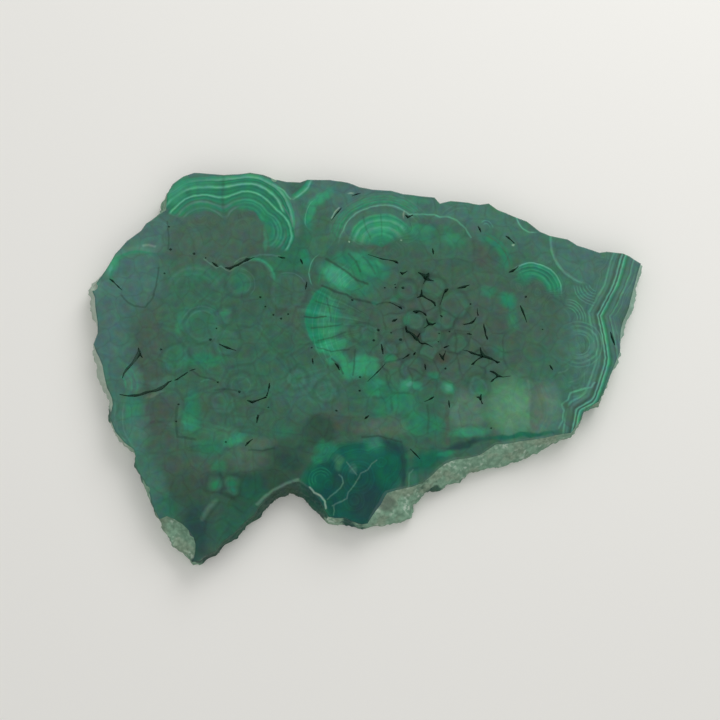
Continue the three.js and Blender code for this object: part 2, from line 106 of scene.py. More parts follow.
# How far the breakage reaches: nothing at the polish and at the sawn face, all of it between.
SHARP_DEPTH = 0.25 * MM
LOOSE_DEPTH = 1.6 * MM
FOOT = 0.9 * MM
breakage = slab.vertex_groups.new(name="breakage")
rim_faces = [face for face in slab.data.polygons if face.material_index == ROUGH]
rim_points = {point for face in rim_faces for point in face.vertices}
for number in sorted(rim_points):
    height = slab.data.vertices[number].co.z
    under_polish = (slab_high.z - SHARP_DEPTH - height) / LOOSE_DEPTH
    over_foot = (height - slab_low.z) / FOOT
    breakage.add([number], max(0.0, min(1.0, under_polish, over_foot)), "REPLACE")

# The breakage itself, from coarse to fine: the size and the height of each, in millimetres.
for name, kind, size, height in (
    ("knobs", "CLOUDS", 3.2, 1.3),
    ("facets", "VORONOI", 1.5, -0.7),
    ("crumbs", "CLOUDS", 0.7, 0.5),
):
    texture = bpy.data.textures.new(name, kind)
    texture.noise_scale = size * MM
    displace = slab.modifiers.new(name, "DISPLACE")
    displace.texture = texture
    displace.texture_coords = "LOCAL"
    displace.strength = height * MM
    displace.mid_level = 0.5
    displace.vertex_group = "breakage"
    bpy.ops.object.modifier_apply(modifier=name)

SHARP_EDGE = math.radians(32)
bpy.ops.object.shade_smooth_by_angle(angle=SHARP_EDGE)
for face in slab.data.polygons:
    face.use_smooth = face.material_index == ROUGH

# ---------------------------------------------------------------------- the stone's own colour
# Malachite grows outward from many points at once, in round columns and shells of lighter and
# darker green that meet in cusps. The pattern goes right through the stone. It is laid down front
# by front, each from its centres, in millimetres on the polished face, and its bands of tone.
TONES = {
    "mid": (0.042, 0.120, 0.080),
    "green": (0.036, 0.146, 0.090),
    "core": (0.053, 0.120, 0.085),
    "brown": (0.058, 0.101, 0.075),
    "dark": (0.025, 0.072, 0.047),
    "violet": (0.066, 0.148, 0.132),
    "bluish": (0.062, 0.158, 0.140),
    "teal": (0.054, 0.166, 0.124),
    "teal_pale": (0.074, 0.202, 0.156),
    "emerald": (0.010, 0.156, 0.086),
    "vivid": (0.012, 0.215, 0.112),
    "bright": (0.034, 0.290, 0.155),
    "mint": (0.115, 0.400, 0.270),
    "pale": (0.105, 0.215, 0.155),
    "lime": (0.076, 0.232, 0.125),
    "lime_pale": (0.112, 0.298, 0.176),
    "tan": (0.106, 0.172, 0.127),
    "rust": (0.060, 0.048, 0.032),
    "seam": (0.018, 0.050, 0.034),
    "deep": (0.000, 0.078, 0.060),
    "deep_teal": (0.006, 0.128, 0.090),
    "deep_blue": (0.012, 0.050, 0.052),
    "deep_green": (0.000, 0.118, 0.072),
    # A pale tone for white flecks and veins, also laid as painted glints and as a painted highlight
    # on a crack's lit wall.
    "white_and_glint": (0.300, 0.450, 0.350),
}
FACE_HEIGHT = 8.0  # of the polish above the sawn face, in millimetres
LEAN = (0.10, -0.07)  # how far the columns move sideways for each millimetre down


def new_group(name, inputs, outputs):
    group = bpy.data.node_groups.new(name, "ShaderNodeTree")
    for in_out, sockets in (("INPUT", inputs), ("OUTPUT", outputs)):
        for label, kind in sockets:
            group.interface.new_socket(label, in_out=in_out, socket_type="NodeSocket" + kind)
    return group


growth = new_group("growth bands", [("Position", "Vector")], [("Colour", "Color")])
tree = growth
already_made = {}


def key_of(value):
    """What tells one input of a step from another."""
    if isinstance(value, bpy.types.NodeSocket):
        return value.node.name, value.name, value.identifier
    return value


def wire(made, pairs):
    """Fills a step's inputs, each with a value or with what another step puts out."""
    for index, value in pairs:
        if isinstance(value, bpy.types.NodeSocket):
            tree.links.new(value, made.inputs[index])
        elif value is not None:
            made.inputs[index].default_value = value
    return made


def node(kind, *values, output=0, **settings):
    """Adds one step to the tree that is being woven, or finds it if the same step is there."""
    key = (tree, kind, *settings.items(), *map(key_of, values))
    if key not in already_made:
        made = tree.nodes.new(kind)
        for name, value in settings.items():
            setattr(made, name, value)
        already_made[key] = wire(made, enumerate(values))
    return already_made[key].outputs[output]


def math_of(operation, *values):
    return node("ShaderNodeMath", *values, operation=operation)


def vector_of(operation, *values):
    output = 1 if operation in ("DISTANCE", "LENGTH", "DOT_PRODUCT") else 0
    return node("ShaderNodeVectorMath", *values, operation=operation, output=output)


def scaled(vector, amount):
    return node("ShaderNodeVectorMath", vector, None, None, amount, operation="SCALE")


def spanned(value, low, high, to_low=0.0, to_high=1.0, smooth=True):
    """Carries low and high over to two other values, easing in and out unless told not to."""
    shape = "SMOOTHSTEP" if smooth else "LINEAR"
    return node("ShaderNodeMapRange", value, low, high, to_low, to_high,
                interpolation_type=shape, clamp=False)


def mixed(share, under, over):
    """Lays one colour over another, as fully as the share says."""
    made = tree.nodes.new("ShaderNodeMix")
    made.data_type = "RGBA"
    return wire(made, ((0, share), (6, under), (7, over))).outputs[2]


def blended(share, under, over):
    """The same with two plain values."""
    return wire(tree.nodes.new("ShaderNodeMix"), ((0, share), (2, under), (3, over))).outputs[0]


def ramp(value, stops):
    """Reads a colour and how fully it covers off a row of stops, which run from 0 to 1."""
    made = tree.nodes.new("ShaderNodeValToRGB")
    tree.links.new(value, made.inputs[0])
    marks = made.color_ramp.elements
    for number in range(len(stops) - 2):
        marks.new((number + 1) / (len(stops) - 1))
    for mark, (at, *colour_and_cover) in zip(marks, stops):
        mark.position = at
        mark.color = colour_and_cover
    return made.outputs


def nearest_of(distances, *blend):
    """The least of the distances. Given a blend in millimetres, they run together over it."""
    join = "SMOOTH_MIN" if blend else "MINIMUM"
    nearest = None
    for distance in distances:
        nearest = distance if nearest is None else math_of(join, nearest, distance, *blend)
    return nearest


def tone(name):
    return (*TONES[name], 1)


def heading_of(degrees):
    return (math.cos(math.radians(degrees)), math.sin(math.radians(degrees)), 0)


def begin_group(name, inputs, outputs):
    """Starts a small tree of its own, which the ones after it place where they need it."""
    global tree
    tree = new_group(name, inputs, outputs)
    return tree.nodes.new("NodeGroupInput").outputs


def end_group(*results):
    """Ends that tree with what it puts out."""
    ends = tree.nodes.new("NodeGroupOutput")
    for number, result in enumerate(results):
        tree.links.new(result, ends.inputs[number])
    return tree


def placed(group, *values, output=0):
    """Puts a finished group into the tree that is being woven."""
    return node("ShaderNodeGroup", *values, output=output, node_tree=group)


# How far out a point is in an oval that is turned: 1 at its edge. Along and across are its two
# directions, each divided by its half axis.
place, middle, along, across = begin_group(
    "turned oval",
    [("Place", "Vector"), ("Middle", "Vector"), ("Along", "Vector"), ("Across", "Vector")],
    [("Out", "Float")],
)[:4]
moved = vector_of("SUBTRACT", place, middle)
far_along = vector_of("DOT_PRODUCT", moved, along)
far_across = vector_of("DOT_PRODUCT", moved, across)
square = math_of("MULTIPLY", far_along, far_along)
square = math_of("MULTIPLY_ADD", far_across, far_across, square)
turned_oval = end_group(math_of("SQRT", square))

# How far a point is from a straight piece of a vein. Pace is its run divided by the square of
# its length.
place, start, run, pace = begin_group(
    "stretch",
    [("Place", "Vector"), ("Start", "Vector"), ("Run", "Vector"), ("Pace", "Vector")],
    [("Out", "Float")],
)[:4]
moved = vector_of("SUBTRACT", place, start)
share = node("ShaderNodeClamp", vector_of("DOT_PRODUCT", moved, pace))
stretch = end_group(vector_of("DISTANCE", moved, scaled(run, share)))

# Where a point is, in millimetres, with the columns leaning a little as they go down, and
# nothing quite round or quite straight.
tree = growth
group_in = growth.nodes.new("NodeGroupInput")
place_mm = scaled(group_in.outputs["Position"], 1 / MM)
x, y, z = (node("ShaderNodeSeparateXYZ", place_mm, output=i) for i in range(3))
below = math_of("SUBTRACT", z, FACE_HEIGHT)
leaning = node("ShaderNodeCombineXYZ", math_of("MULTIPLY_ADD", below, LEAN[0], x),
               math_of("MULTIPLY_ADD", below, LEAN[1], y), 0.0)


def offset(place, size, reach):
    """How far soft noise of one size moves a place sideways, within its reach."""
    noise = node("ShaderNodeTexNoise", place, None, 1 / size, 1.0, output=1)
    away = vector_of("SUBTRACT", noise, (0.5, 0.5, 0.5))
    return vector_of("MULTIPLY", away, (2 * reach, 2 * reach, 0))


# The smallest columns, which are scattered, and how each pushes the fronts a little.
COLUMN = 4.8
bent = vector_of("ADD", leaning, offset(leaning, 8.0, 0.4))
fray = offset(bent, 3.6, 0.9)
cell_place = scaled(vector_of("ADD", bent, fray), 1 / COLUMN)
from_cell = node("ShaderNodeTexVoronoi", cell_place, None, 1.0, voronoi_dimensions="2D")
field = math_of("MULTIPLY", from_cell, COLUMN)
push = vector_of("MULTIPLY_ADD", node("ShaderNodeCombineXYZ", field, field, 0.0), (0.04, -0.04, 0),
                 offset(bent, 1.7, 0.2))
waved = vector_of("ADD", bent, push)
frayed = vector_of("ADD", waved, fray)
colour = mixed(0.0, tone("mid"), tone("mid"))
regions = []
CARRIED = [
    ("Place", "Vector"), ("Frayed place", "Vector"), ("Colour", "Color"), ("Front", "Float"),
]
base = waved, frayed, colour, field


def begin_region(name):
    """What is laid from here on goes into a group of its own, which carries the place, the
    colour so far and the distance from the uppermost front."""
    global waved, frayed, colour, field
    waved, frayed, colour, field = begin_group(name, CARRIED, CARRIED[2:])[:4]


def end_region():
    """Ends that group, with the colour and the distance as they now are."""
    regions.append(end_group(colour, field))


def lay(distance, stops, clip=None, facing=None):
    """Lays one growth front over the colour so far. Each stop is a distance in millimetres, a
    tone and how fully it covers. A front may be clipped along a line, given by a point, the
    direction of the kept side and a softness. It may also face one way only, given by a centre,
    a direction, a spread to either side and a softness of its ends, the last three in degrees."""
    global colour, field
    first, last = stops[0][0], stops[-1][0]
    marks = [((at - first) / (last - first), *TONES[name], share) for at, name, share in stops]
    shell, cover = ramp(spanned(distance, first, last, smooth=False), marks)
    if clip:
        px, py, heading, soft = clip
        way = heading_of(heading)
        past = vector_of("DOT_PRODUCT", waved, way)
        start = px * way[0] + py * way[1]
        cover = math_of("MULTIPLY", cover, spanned(past, start - soft, start + soft))
    if facing:
        cx, cy, heading, spread, soft = facing
        low = math.cos(math.radians(min(180, spread + soft)))
        high = math.cos(math.radians(max(0, spread - soft)))
        towards = vector_of("NORMALIZE", vector_of("SUBTRACT", waved, (cx, cy, 0)))
        seen = spanned(vector_of("DOT_PRODUCT", towards, heading_of(heading)), low, high)
        cover = math_of("MULTIPLY", cover, seen)
    colour = mixed(cover, colour, shell)
    field = blended(cover, field, distance)


def from_circle(place, cx, cy, radius):
    return math_of("SUBTRACT", vector_of("DISTANCE", place, (cx, cy, 0)), radius)


def from_circles(circles, place, blend=0.0):
    """How far outside the nearest of some circles a point is, and less than nothing inside."""
    return nearest_of((from_circle(place, *circle) for circle in circles), blend)


def front(circles, stops, clip=None, facing=None, blend=1.2):
    """A growth front round one or more centres, which run together over the length of the blend.
    Facing is given about the first of them."""
    if facing:
        facing = (*circles[0][:2], *facing)
    lay(from_circles(circles, waved, blend), stops, clip, facing)


def from_oval(place, cx, cy, wide, high, turn=0.0):
    """How far out a point is in an oval: 1 at its edge."""
    if turn:
        ax, ay = heading_of(turn)[:2]
        along = (ax / wide, ay / wide, 0)
        across = (-ay / high, ax / high, 0)
        return placed(turned_oval, place, (cx, cy, 0), along, across)
    scale = (1 / wide, 1 / high, 0)
    shift = (-cx / wide, -cy / high, 0)
    return vector_of("LENGTH", vector_of("MULTIPLY_ADD", place, scale, shift))


def patches(name, *ovals, soft=0.55):
    """Soft oval clouds of one tone: middle, half width, half height, turn and strength. The
    softness is the share of the half width that the edge takes up on either side."""
    global colour
    for cx, cy, wide, high, turn, strength in ovals:
        out = from_oval(frayed, cx, cy, wide, high, turn)
        cover = spanned(out, 1 + soft, 1 - soft, 0.0, strength)
        colour = mixed(cover, colour, tone(name))


def blobs(core, rim, *columns, strength=0.8, seam=0.5):
    """Columns seen end on: a core, a rim of another tone, and the dark seam round each."""
    reach = max(radius for _, _, radius in columns)
    lay(from_circles(columns, frayed), [
        (-reach, core, strength), (-1.9, core, strength), (-0.8, rim, 0.9 * strength),
        (0.1, "seam", 0.6 * seam), (1.0, "seam", 0.0),
    ])


def arcs(cx, cy, radii, heading, spread, light, dark, strength=0.8, width=0.28, soft=12):
    """Fine light rings about one centre, showing only part of the way round."""
    stops = [(radii[0] - 3 * width, dark, 0.0)]
    for radius in radii:
        stops += [(radius - width, dark, 0.6 * strength), (radius, light, strength),
                  (radius + width, dark, 0.6 * strength)]
    stops += [(radii[-1] + 3 * width, dark, 0.0)]
    front([(cx, cy, 0)], stops, facing=(heading, spread, soft))


def from_stretch(start, end):
    """How far a point is from a straight piece of a vein."""
    run = (end[0] - start[0], end[1] - start[1], 0)
    square = run[0] ** 2 + run[1] ** 2
    pace = (run[0] / square, run[1] / square, 0)
    return placed(stretch, waved, (*start, 0), run, pace)


def vein(name, width, strength, points, soft=0.3):
    """A thin vein, seam or hairline through the given points."""
    global colour
    nearest = nearest_of(from_stretch(*ends) for ends in zip(points, points[1:]))
    cover = spanned(nearest, width / 2 + soft, max(0.0, width / 2 - soft / 2), 0.0, strength)
    colour = mixed(cover, colour, tone(name))


# The broad zones, from which the finer growth stands out.
begin_region("broad zones")
patches(
    "bluish",
    (-71, 9, 7, 17, 0, 1.0), (-59, 35, 9, 6, 25, 0.8), (-62, 22, 8, 8, 0, 1.0),
    (-10, 47, 18, 5, 0, 0.8),
)
patches(
    "teal",
    (12, 44.5, 12, 4, 0, 0.8), (33, 39, 15, 5, -22, 0.85), (58, 27, 13, 9, -20, 1.0),
    (-66, -5, 6, 8, 0, 0.7), (-63.5, -17, 6, 9, 0, 1.0), (58, 3, 9, 13, 0, 0.8),
    (49, -11, 7, 9, 0, 0.8),
)
patches(
    "core",
    (-39, 34.5, 13, 8, 0, 0.9), (-53, -22, 5, 12, 10, 0.9), (16, 10, 17, 17, 0, 0.8),
    (43, 8, 11, 15, 0, 0.95), (30, -12, 10, 8, 0, 0.5), (-29, -26, 9, 5, 0, 0.6),
    (-41, -14, 14, 9, 0, 0.5),
)
patches(
    "brown",
    (-57.5, 4, 4.5, 13, 0, 0.9), (-4, 33, 8, 2.6, -15, 0.9), (31.5, 29.5, 2.6, 6, 25, 0.9),
    (-46, -31, 8, 5.5, 0, 0.9), (-19.5, 16, 4.5, 8, 0, 0.7), (-55.5, -14.5, 4.5, 6, 0, 0.9),
    (0, -16.5, 13, 3.0, 0, 0.9), (-44, 29.5, 12, 2.4, -6, 0.7),
)
patches(
    "green",
    (-46.5, 20, 9, 8, 0, 0.55), (-48, 6, 7, 11, 0, 0.45), (-34, 8, 8, 9, 0, 0.25),
    (-58, -33, 4, 13, 20, 0.8), (-38, -20, 9, 5, 0, 0.5), (-24, 2, 8, 9, 0, 0.3),
    (49, -4, 5, 8, 0, 0.6), (-14, 33, 8, 4, 0, 0.7), (8, -11, 12, 7, 0, 0.8),
)
patches("dark", (-48, -36, 7, 6, 0, 0.5), (-26, -30, 13, 7, 28, 0.9), (-36, -42, 9, 5, 40, 0.5))
patches("deep_blue", (-45, -46, 3.6, 8, 0, 0.8), (-20.5, -27, 3, 2, 0, 0.5))
patches(
    "violet",
    (-45, 43, 8, 3, 8, 0.5), (17, 40.3, 9, 1.6, 0, 0.5), (29, 37.6, 6, 1.6, -32, 0.4),
    (2, 48, 9, 1.4, -6, 0.8), (-72, 8, 4, 8, 0, 0.5), (-62, 36.5, 4, 2, 20, 0.5),
    (58, 28, 8, 4, -25, 0.6), (71, 24, 2.5, 5, -15, 0.5), (-55, -5.5, 3, 1.2, 20, 0.4),
)
patches("brown", (-8, -12, 3, 2.4, 0, 0.6))
patches("teal_pale", (-57, -34, 3.4, 9, 20, 0.35), (60, 4, 4, 9, 0, 0.4), (-61, -19, 3, 6, 0, 0.4))
patches("teal", (-57.5, -34, 4, 10, 20, 0.9), (-15, -7, 9, 6, 0, 0.55), (-62, 24, 6, 6, 0, 0.4))
patches("brown", (20, 9, 15, 13, 0, 0.55), (30, 14, 8, 9, 0, 0.3))
patches("tan", (5, -17.6, 7, 2.4, 0, 0.5))
patches("pale", (27, -13, 5, 5, 0, 0.6))
patches("emerald", (-21, 28, 4.4, 4.2, 0, 0.6), (-17.6, 38, 2.4, 9, 0, 0.4))
end_region()

# At the back left: the twin lobes, and the shells that grew outside them.
begin_region("back left lobes")
TWIN_LOBES = [(-44.4, 36.1, 10.3), (-33, 38.8, 8.5)]
front(TWIN_LOBES, [
    (-0.3, "vivid", 0), (0.2, "vivid", 1), (0.8, "emerald", 1), (1.2, "vivid", 1),
    (1.5, "emerald", 1), (1.9, "vivid", 1), (2.3, "mint", 1), (2.7, "bright", 1),
    (3.2, "emerald", 1), (3.6, "vivid", 1), (3.9, "emerald", 1), (4.3, "mint", 1),
    (4.8, "bright", 1), (5.4, "teal", 1), (6.2, "bluish", 0.9), (8, "core", 0),
], clip=(-53.5, 42.2, 78, 0.8), blend=5)
front([*TWIN_LOBES, (-27.2, 35.2, 6.9)], [
    (-5.6, "core", 0), (-4.7, "core", 0.8), (-4.1, "green", 1), (-3.7, "teal_pale", 1),
    (-3.2, "green", 1), (-2.5, "vivid", 0.9), (-2.0, "teal_pale", 1), (-1.5, "green", 1),
    (-0.9, "vivid", 1), (-0.45, "emerald", 1), (-0.2, "bright", 1), (0, "mint", 1),
    (0.3, "bright", 1), (0.6, "emerald", 1), (1.0, "emerald", 0),
], clip=(-53.5, 41.2, 72, 0.8), blend=4)
patches("bright", (-52, 47.5, 2.2, 4.0, -35, 0.9), (-46, 48.9, 5, 1.2, 4, 0.5))
patches(
    "vivid",
    (-47.5, 50.2, 6, 1.3, 8, 0.5), (-46, 42.6, 6, 1.2, 8, 0.5), (-35, 44.4, 5, 1.0, 0, 0.4),
)
front([(-33, 38.2, 8.6), (-28.5, 36, 7.1)], [
    (-4.6, "green", 0.0), (-4.1, "vivid", 0.9), (-3.6, "bright", 0.9), (-3.1, "emerald", 0.9),
    (-2.6, "bright", 0.8), (-2.1, "vivid", 0.9), (-1.7, "bright", 0.8), (-1.2, "emerald", 0.9),
    (-0.7, "vivid", 0.7), (-0.2, "green", 0.0),
], facing=(35, 66, 22))
patches(
    "vivid",
    (-26.3, 37, 1.0, 4.5, 8, 0.7), (-31.5, 43, 4, 1.2, -10, 0.5), (-28, 40.5, 1.2, 2.4, 35, 0.6),
)
patches("bright", (-27.6, 33.4, 0.6, 2.6, 0, 0.5))
patches("core", (-40, 34.5, 11.5, 6.0, 0, 1.0), (-31.5, 35.2, 3.2, 4.2, 0, 0.9), soft=0.22)
vein("teal_pale", 0.2, 0.8, [(-22.7, 43.5), (-21.5, 41.5), (-20.5, 40), (-19.9, 37.6)])
vein("mint", 0.2, 0.9, [(-25.5, 49.4), (-22.5, 47.7), (-20.5, 45.3)])
vein("seam", 0.3, 0.3, [(-39.1, 52), (-39, 49), (-39.2, 46), (-38.9, 42)], soft=0.7)
vein("teal_pale", 0.3, 0.7, [(-31, 29.0), (-29, 29.6), (-26, 29.6), (-23.5, 29.3)])
vein("pale", 0.2, 0.8, [
    (-44, 28.5), (-42, 27), (-40.6, 26), (-39.2, 26.5), (-38, 25.6), (-36.9, 25.1), (-35.2, 26),
    (-33, 27.3), (-31, 28.2),
], soft=0.25)
vein("pale", 0.16, 0.6, [(-35.6, 27.5), (-34, 28.7), (-32.3, 29.2)], soft=0.25)
end_region()

# The lobes at the left edge.
begin_region("left lobes")
front([(-62, 23.3, 7.8), (-57, 24.0, 6.4)], [
    (-6, "bluish", 0.5), (-2.6, "bluish", 0.7), (-1.4, "teal", 0.8), (-0.5, "vivid", 0.7),
    (0.1, "teal_pale", 0.8), (0.7, "teal_pale", 0.8), (2.2, "teal", 0.5), (3.4, "teal", 0),
], facing=(122, 66, 24))
patches("bright", (-68.8, 26.8, 1.3, 2.6, -30, 0.8), soft=0.6)
patches("mint", (-69.4, 25.4, 0.5, 1.2, -20, 0.5), soft=0.6)
arcs(-57.5, 34.6, [3.6, 4.6], 100, 60, "teal_pale", "bluish", 0.4)
patches("teal_pale", (-72.8, 20, 1.6, 2.4, 0, 0.8))
vein("seam", 0.18, 0.55, [
    (-66, 18.2), (-64.3, 16.4), (-62.5, 15.4), (-59.5, 15), (-57.6, 17.5), (-56.8, 21), (-56.2, 26),
], soft=0.35)
front([(-46.5, 18.6, 8.2)], [
    (-3.4, "green", 0), (-2.4, "teal_pale", 0.3), (-1.8, "green", 0.3), (-0.9, "teal_pale", 0.45),
    (-0.2, "green", 0.5), (0.8, "brown", 0.4), (1.6, "brown", 0),
], facing=(95, 66, 22))
vein("seam", 0.25, 0.5, [(-54.2, 38.9), (-53.6, 35.2), (-53.6, 31.2)])
vein("white_and_glint", 0.4, 0.3, [(-60.6, 32.2), (-59.2, 32.3), (-57.4, 32)], soft=0.4)
end_region()

# Along the back edge: fans of fine shells, and the bright and dull patches between them.
begin_region("back edge")
front([(-24, 54, 9.8)], [
    (-6, "bluish", 0.9), (-1.6, "dark", 0.5), (-1.0, "vivid", 1), (-0.45, "bright", 1),
    (0, "mint", 0.9), (0.4, "vivid", 0.7), (1.4, "teal", 0),
], facing=(-42, 20, 9))
front([(-9.5, 40, 6.9)], [
    (-5, "core", 0), (-3.4, "core", 0.5), (-2.2, "green", 0.8), (-1.0, "vivid", 0.95),
    (-0.3, "vivid", 0.95), (0.4, "teal", 0.5), (1.2, "teal", 0),
], facing=(150, 48, 22))
patches("bright", (-11.6, 46.0, 2.8, 1.2, 35, 0.9), (-14.9, 42.6, 1.0, 2.6, -12, 0.7), soft=0.6)
arcs(-9.5, 40, [7.0], 168, 30, "mint", "vivid", 0.5, 0.22)
front([(4.5, 31.6, 11.9)], [
    (-11.9, "vivid", 0.6), (-8.6, "vivid", 0.9), (-8.0, "bright", 0.95), (-7.3, "vivid", 1),
    (-6.6, "bright", 1), (-6.0, "mint", 0.8), (-5.5, "bright", 1), (-4.9, "vivid", 1),
    (-4.5, "bright", 1), (-4.1, "mint", 0.9), (-3.6, "bright", 1), (-3.1, "vivid", 0.95),
    (-2.7, "bright", 0.8), (-2.2, "teal", 0.9), (-1.4, "teal", 0.8), (-0.6, "teal", 0.9),
    (-0.2, "teal_pale", 0.9), (0, "mint", 0.7), (0.3, "teal", 0.9), (0.8, "vivid", 0.6),
    (1.2, "bright", 0.6), (1.5, "teal", 0.9), (1.9, "bright", 0.6), (2.2, "teal", 0.9),
    (2.6, "bright", 0.5), (2.9, "teal", 0.8), (3.3, "teal_pale", 0.6), (3.6, "teal", 0.6),
    (4.4, "bluish", 0),
], facing=(100, 62, 18))
patches("bright", (1.5, 36.2, 4.5, 3.0, 25, 0.5), (6.5, 38.4, 3.5, 2.0, -15, 0.4))
vein("seam", 0.25, 0.3, [(1.4, 34), (0.2, 37), (-0.8, 40.2)])
vein("seam", 0.25, 0.3, [(4.4, 35), (4.3, 38), (4.2, 41)])
front([(15.5, 43.4, 3.4)], [
    (-3, "teal", 0.4), (-0.8, "teal", 0.4), (-0.1, "teal_pale", 0.7), (0.4, "teal", 0),
], facing=(60, 75, 30))
patches("bright", (14.6, 45.0, 3, 0.9, -5, 0.35))
arcs(21, 47, [6.6], -92, 26, "teal_pale", "teal", 0.6)
patches(
    "vivid",
    (15, 35.6, 4.2, 2.6, 0, 0.8), (22.6, 36.4, 1.6, 2.2, 0, 0.5), (24.4, 34, 3.2, 2.0, 0, 0.7),
)
patches("bright", (15.4, 36.4, 3.4, 1.2, 0, 0.55), (23.6, 34.2, 2.2, 1.4, 0, 0.75), soft=0.5)
vein("core", 1.4, 0.6, [(13, 39.4), (19, 39.2), (23, 38.4), (26, 36.6), (27.8, 33.4)], soft=0.6)
vein("mint", 0.16, 0.6, [
    (12, 40.9), (15, 41.1), (19, 40.9), (20.4, 40.2), (22.4, 40.2), (25, 39.2), (27.5, 37),
    (28.8, 34.4),
], soft=0.3)
patches("green", (15.5, 34, 6, 3.6, 0, 0.5), (24, 33.5, 5, 4.4, 0, 0.5))
arcs(26.4, 37.4, [5.4, 6.5], 105, 42, "teal_pale", "teal", 0.6, 0.3)
arcs(32.8, 37.2, [1.1, 1.9], 62, 60, "mint", "teal", 0.5, 0.24)
front([(29, 25.6, 8.8)], [
    (-3, "core", 0), (-1.0, "green", 0.5), (0.2, "vivid", 0.7), (1.0, "vivid", 0.8),
    (1.4, "green", 0.7), (1.8, "vivid", 0.6), (2.6, "green", 0.6), (3.8, "green", 0.4),
    (5.2, "teal", 0),
], facing=(38, 34, 14))
arcs(46, 40.5, [4.7], 222, 52, "mint", "teal", 0.9, 0.35)
front([(62, 33, 11.6)], [
    (-9, "bluish", 0.5), (-2.4, "teal", 0.6), (-0.6, "teal", 0.9), (-0.3, "teal_pale", 0.7),
    (0, "mint", 0.5), (0.45, "green", 0.7), (2.6, "green", 0),
], facing=(206, 46, 12))
front([(45, 19, 8.2)], [
    (-5.2, "core", 0), (-4.4, "green", 0.6), (-3.6, "vivid", 0.9), (-2.9, "bright", 0.9),
    (-2.6, "vivid", 1), (-2.2, "emerald", 0.9), (-1.9, "bright", 0.9), (-1.6, "vivid", 1),
    (-1.1, "emerald", 0.9), (-0.85, "bright", 1), (-0.5, "vivid", 1), (-0.2, "bright", 1),
    (0, "mint", 1), (0.35, "green", 1), (1.6, "green", 0),
], facing=(62, 56, 16))
patches("vivid", (51.7, 20.6, 1.7, 3.4, 8, 0.4), (43, 23, 2.4, 1.6, 30, 0.6))
end_region()

# Along the right edge: the fine pairs of lines that follow the last surface the stone had
# while it grew. Upper is its round part at the back, and four straight stretches follow.
begin_region("right edge lines")
upper = math_of("SUBTRACT", vector_of("DISTANCE", waved, (11.7, 45.6, 0)), 60.4)


def beyond(px, py, heading):
    """How far a point lies beyond the line through the given point, the way it heads."""
    way = heading_of(heading)
    return math_of("SUBTRACT", vector_of("DOT_PRODUCT", waved, way), px * way[0] + py * way[1])


flank = math_of("SMOOTH_MAX", beyond(63.6, 7, 10), beyond(63, -3.5, -20), 2.0)
corner = math_of("SMOOTH_MAX", flank, beyond(58.5, -11.3, -58), 1.2)
foot = math_of("SMOOTH_MIN", corner, beyond(55.6, -15.5, -13), 1.0)
skin = math_of("MINIMUM", upper, foot)
lay(skin, [
    (-4.5, "teal", 0), (-2.7, "teal", 0.7), (-2.3, "mint", 0.6), (-1.9, "teal", 0.8),
    (-1.4, "teal_pale", 0.9), (-1.1, "teal", 0.9), (-0.75, "core", 0.8), (-0.45, "dark", 0.6),
    (-0.15, "teal_pale", 1), (0.05, "mint", 1), (0.3, "teal", 1), (0.55, "dark", 0.6),
    (0.85, "mint", 1), (1.2, "bright", 1), (1.6, "green", 1), (2.1, "teal", 1),
    (2.8, "bluish", 0.9), (3.0, "core", 0.9), (3.3, "mint", 0.5), (3.6, "bluish", 0.9),
    (4.2, "bluish", 0.9), (4.5, "teal_pale", 0.9), (4.8, "bluish", 0.9), (7, "core", 0.9),
    (30, "core", 0.9),
])
end_region()

# Within those lines: smaller shells, and the light line that winds along them.
begin_region("within the right edge")
arcs(62.5, 21.4, [2.0, 2.8, 3.6, 4.4, 5.2, 6.0], 225, 34, "mint", "teal", 0.45, 0.24)
arcs(54, 12, [3.0, 3.8, 4.6, 5.3], 35, 42, "mint", "teal", 0.45, 0.24)
arcs(51, 11.5, [4.0], 18, 28, "teal_pale", "teal", 0.5, 0.3)
front([(57.3, 4.8, 6.3)], [
    (-5, "core", 0), (-3.6, "teal", 0.5), (-3.3, "mint", 0.3), (-3.0, "teal", 0.6),
    (-2.4, "mint", 0.25), (-2.0, "teal", 0.6), (-1.5, "teal", 0.6), (-1.1, "mint", 0.35),
    (-0.8, "teal", 0.6), (-0.3, "teal", 0.5), (0, "mint", 0.35), (0.4, "teal", 0),
], facing=(0, 110, 40))
vein("teal_pale", 0.2, 0.6, [(51.8, -3.1), (53.2, -2.9), (54.2, -2.2)])
vein("teal_pale", 0.2, 0.7, [(54.6, -5.7), (57, -4.9), (59.3, -2.6), (60.5, 0.5)])
vein("mint", 0.25, 0.7, [
    (61.2, -5.6), (60.3, -6.9), (57.6, -7.6), (54.7, -8.6), (54.0, -10.2), (52.4, -11.6),
    (52.9, -13.2), (52.5, -15.8), (51.2, -17.8),
])
vein("teal_pale", 0.2, 0.7, [(60, -7.5), (57.5, -8.9), (55.4, -9.6)])
vein("teal_pale", 0.22, 0.7, [(69.8, 21), (67.6, 16.6), (66.1, 13.3), (66.0, 11)])
patches("core", (54, -14, 0.9, 3.2, 8, 0.8))
end_region()

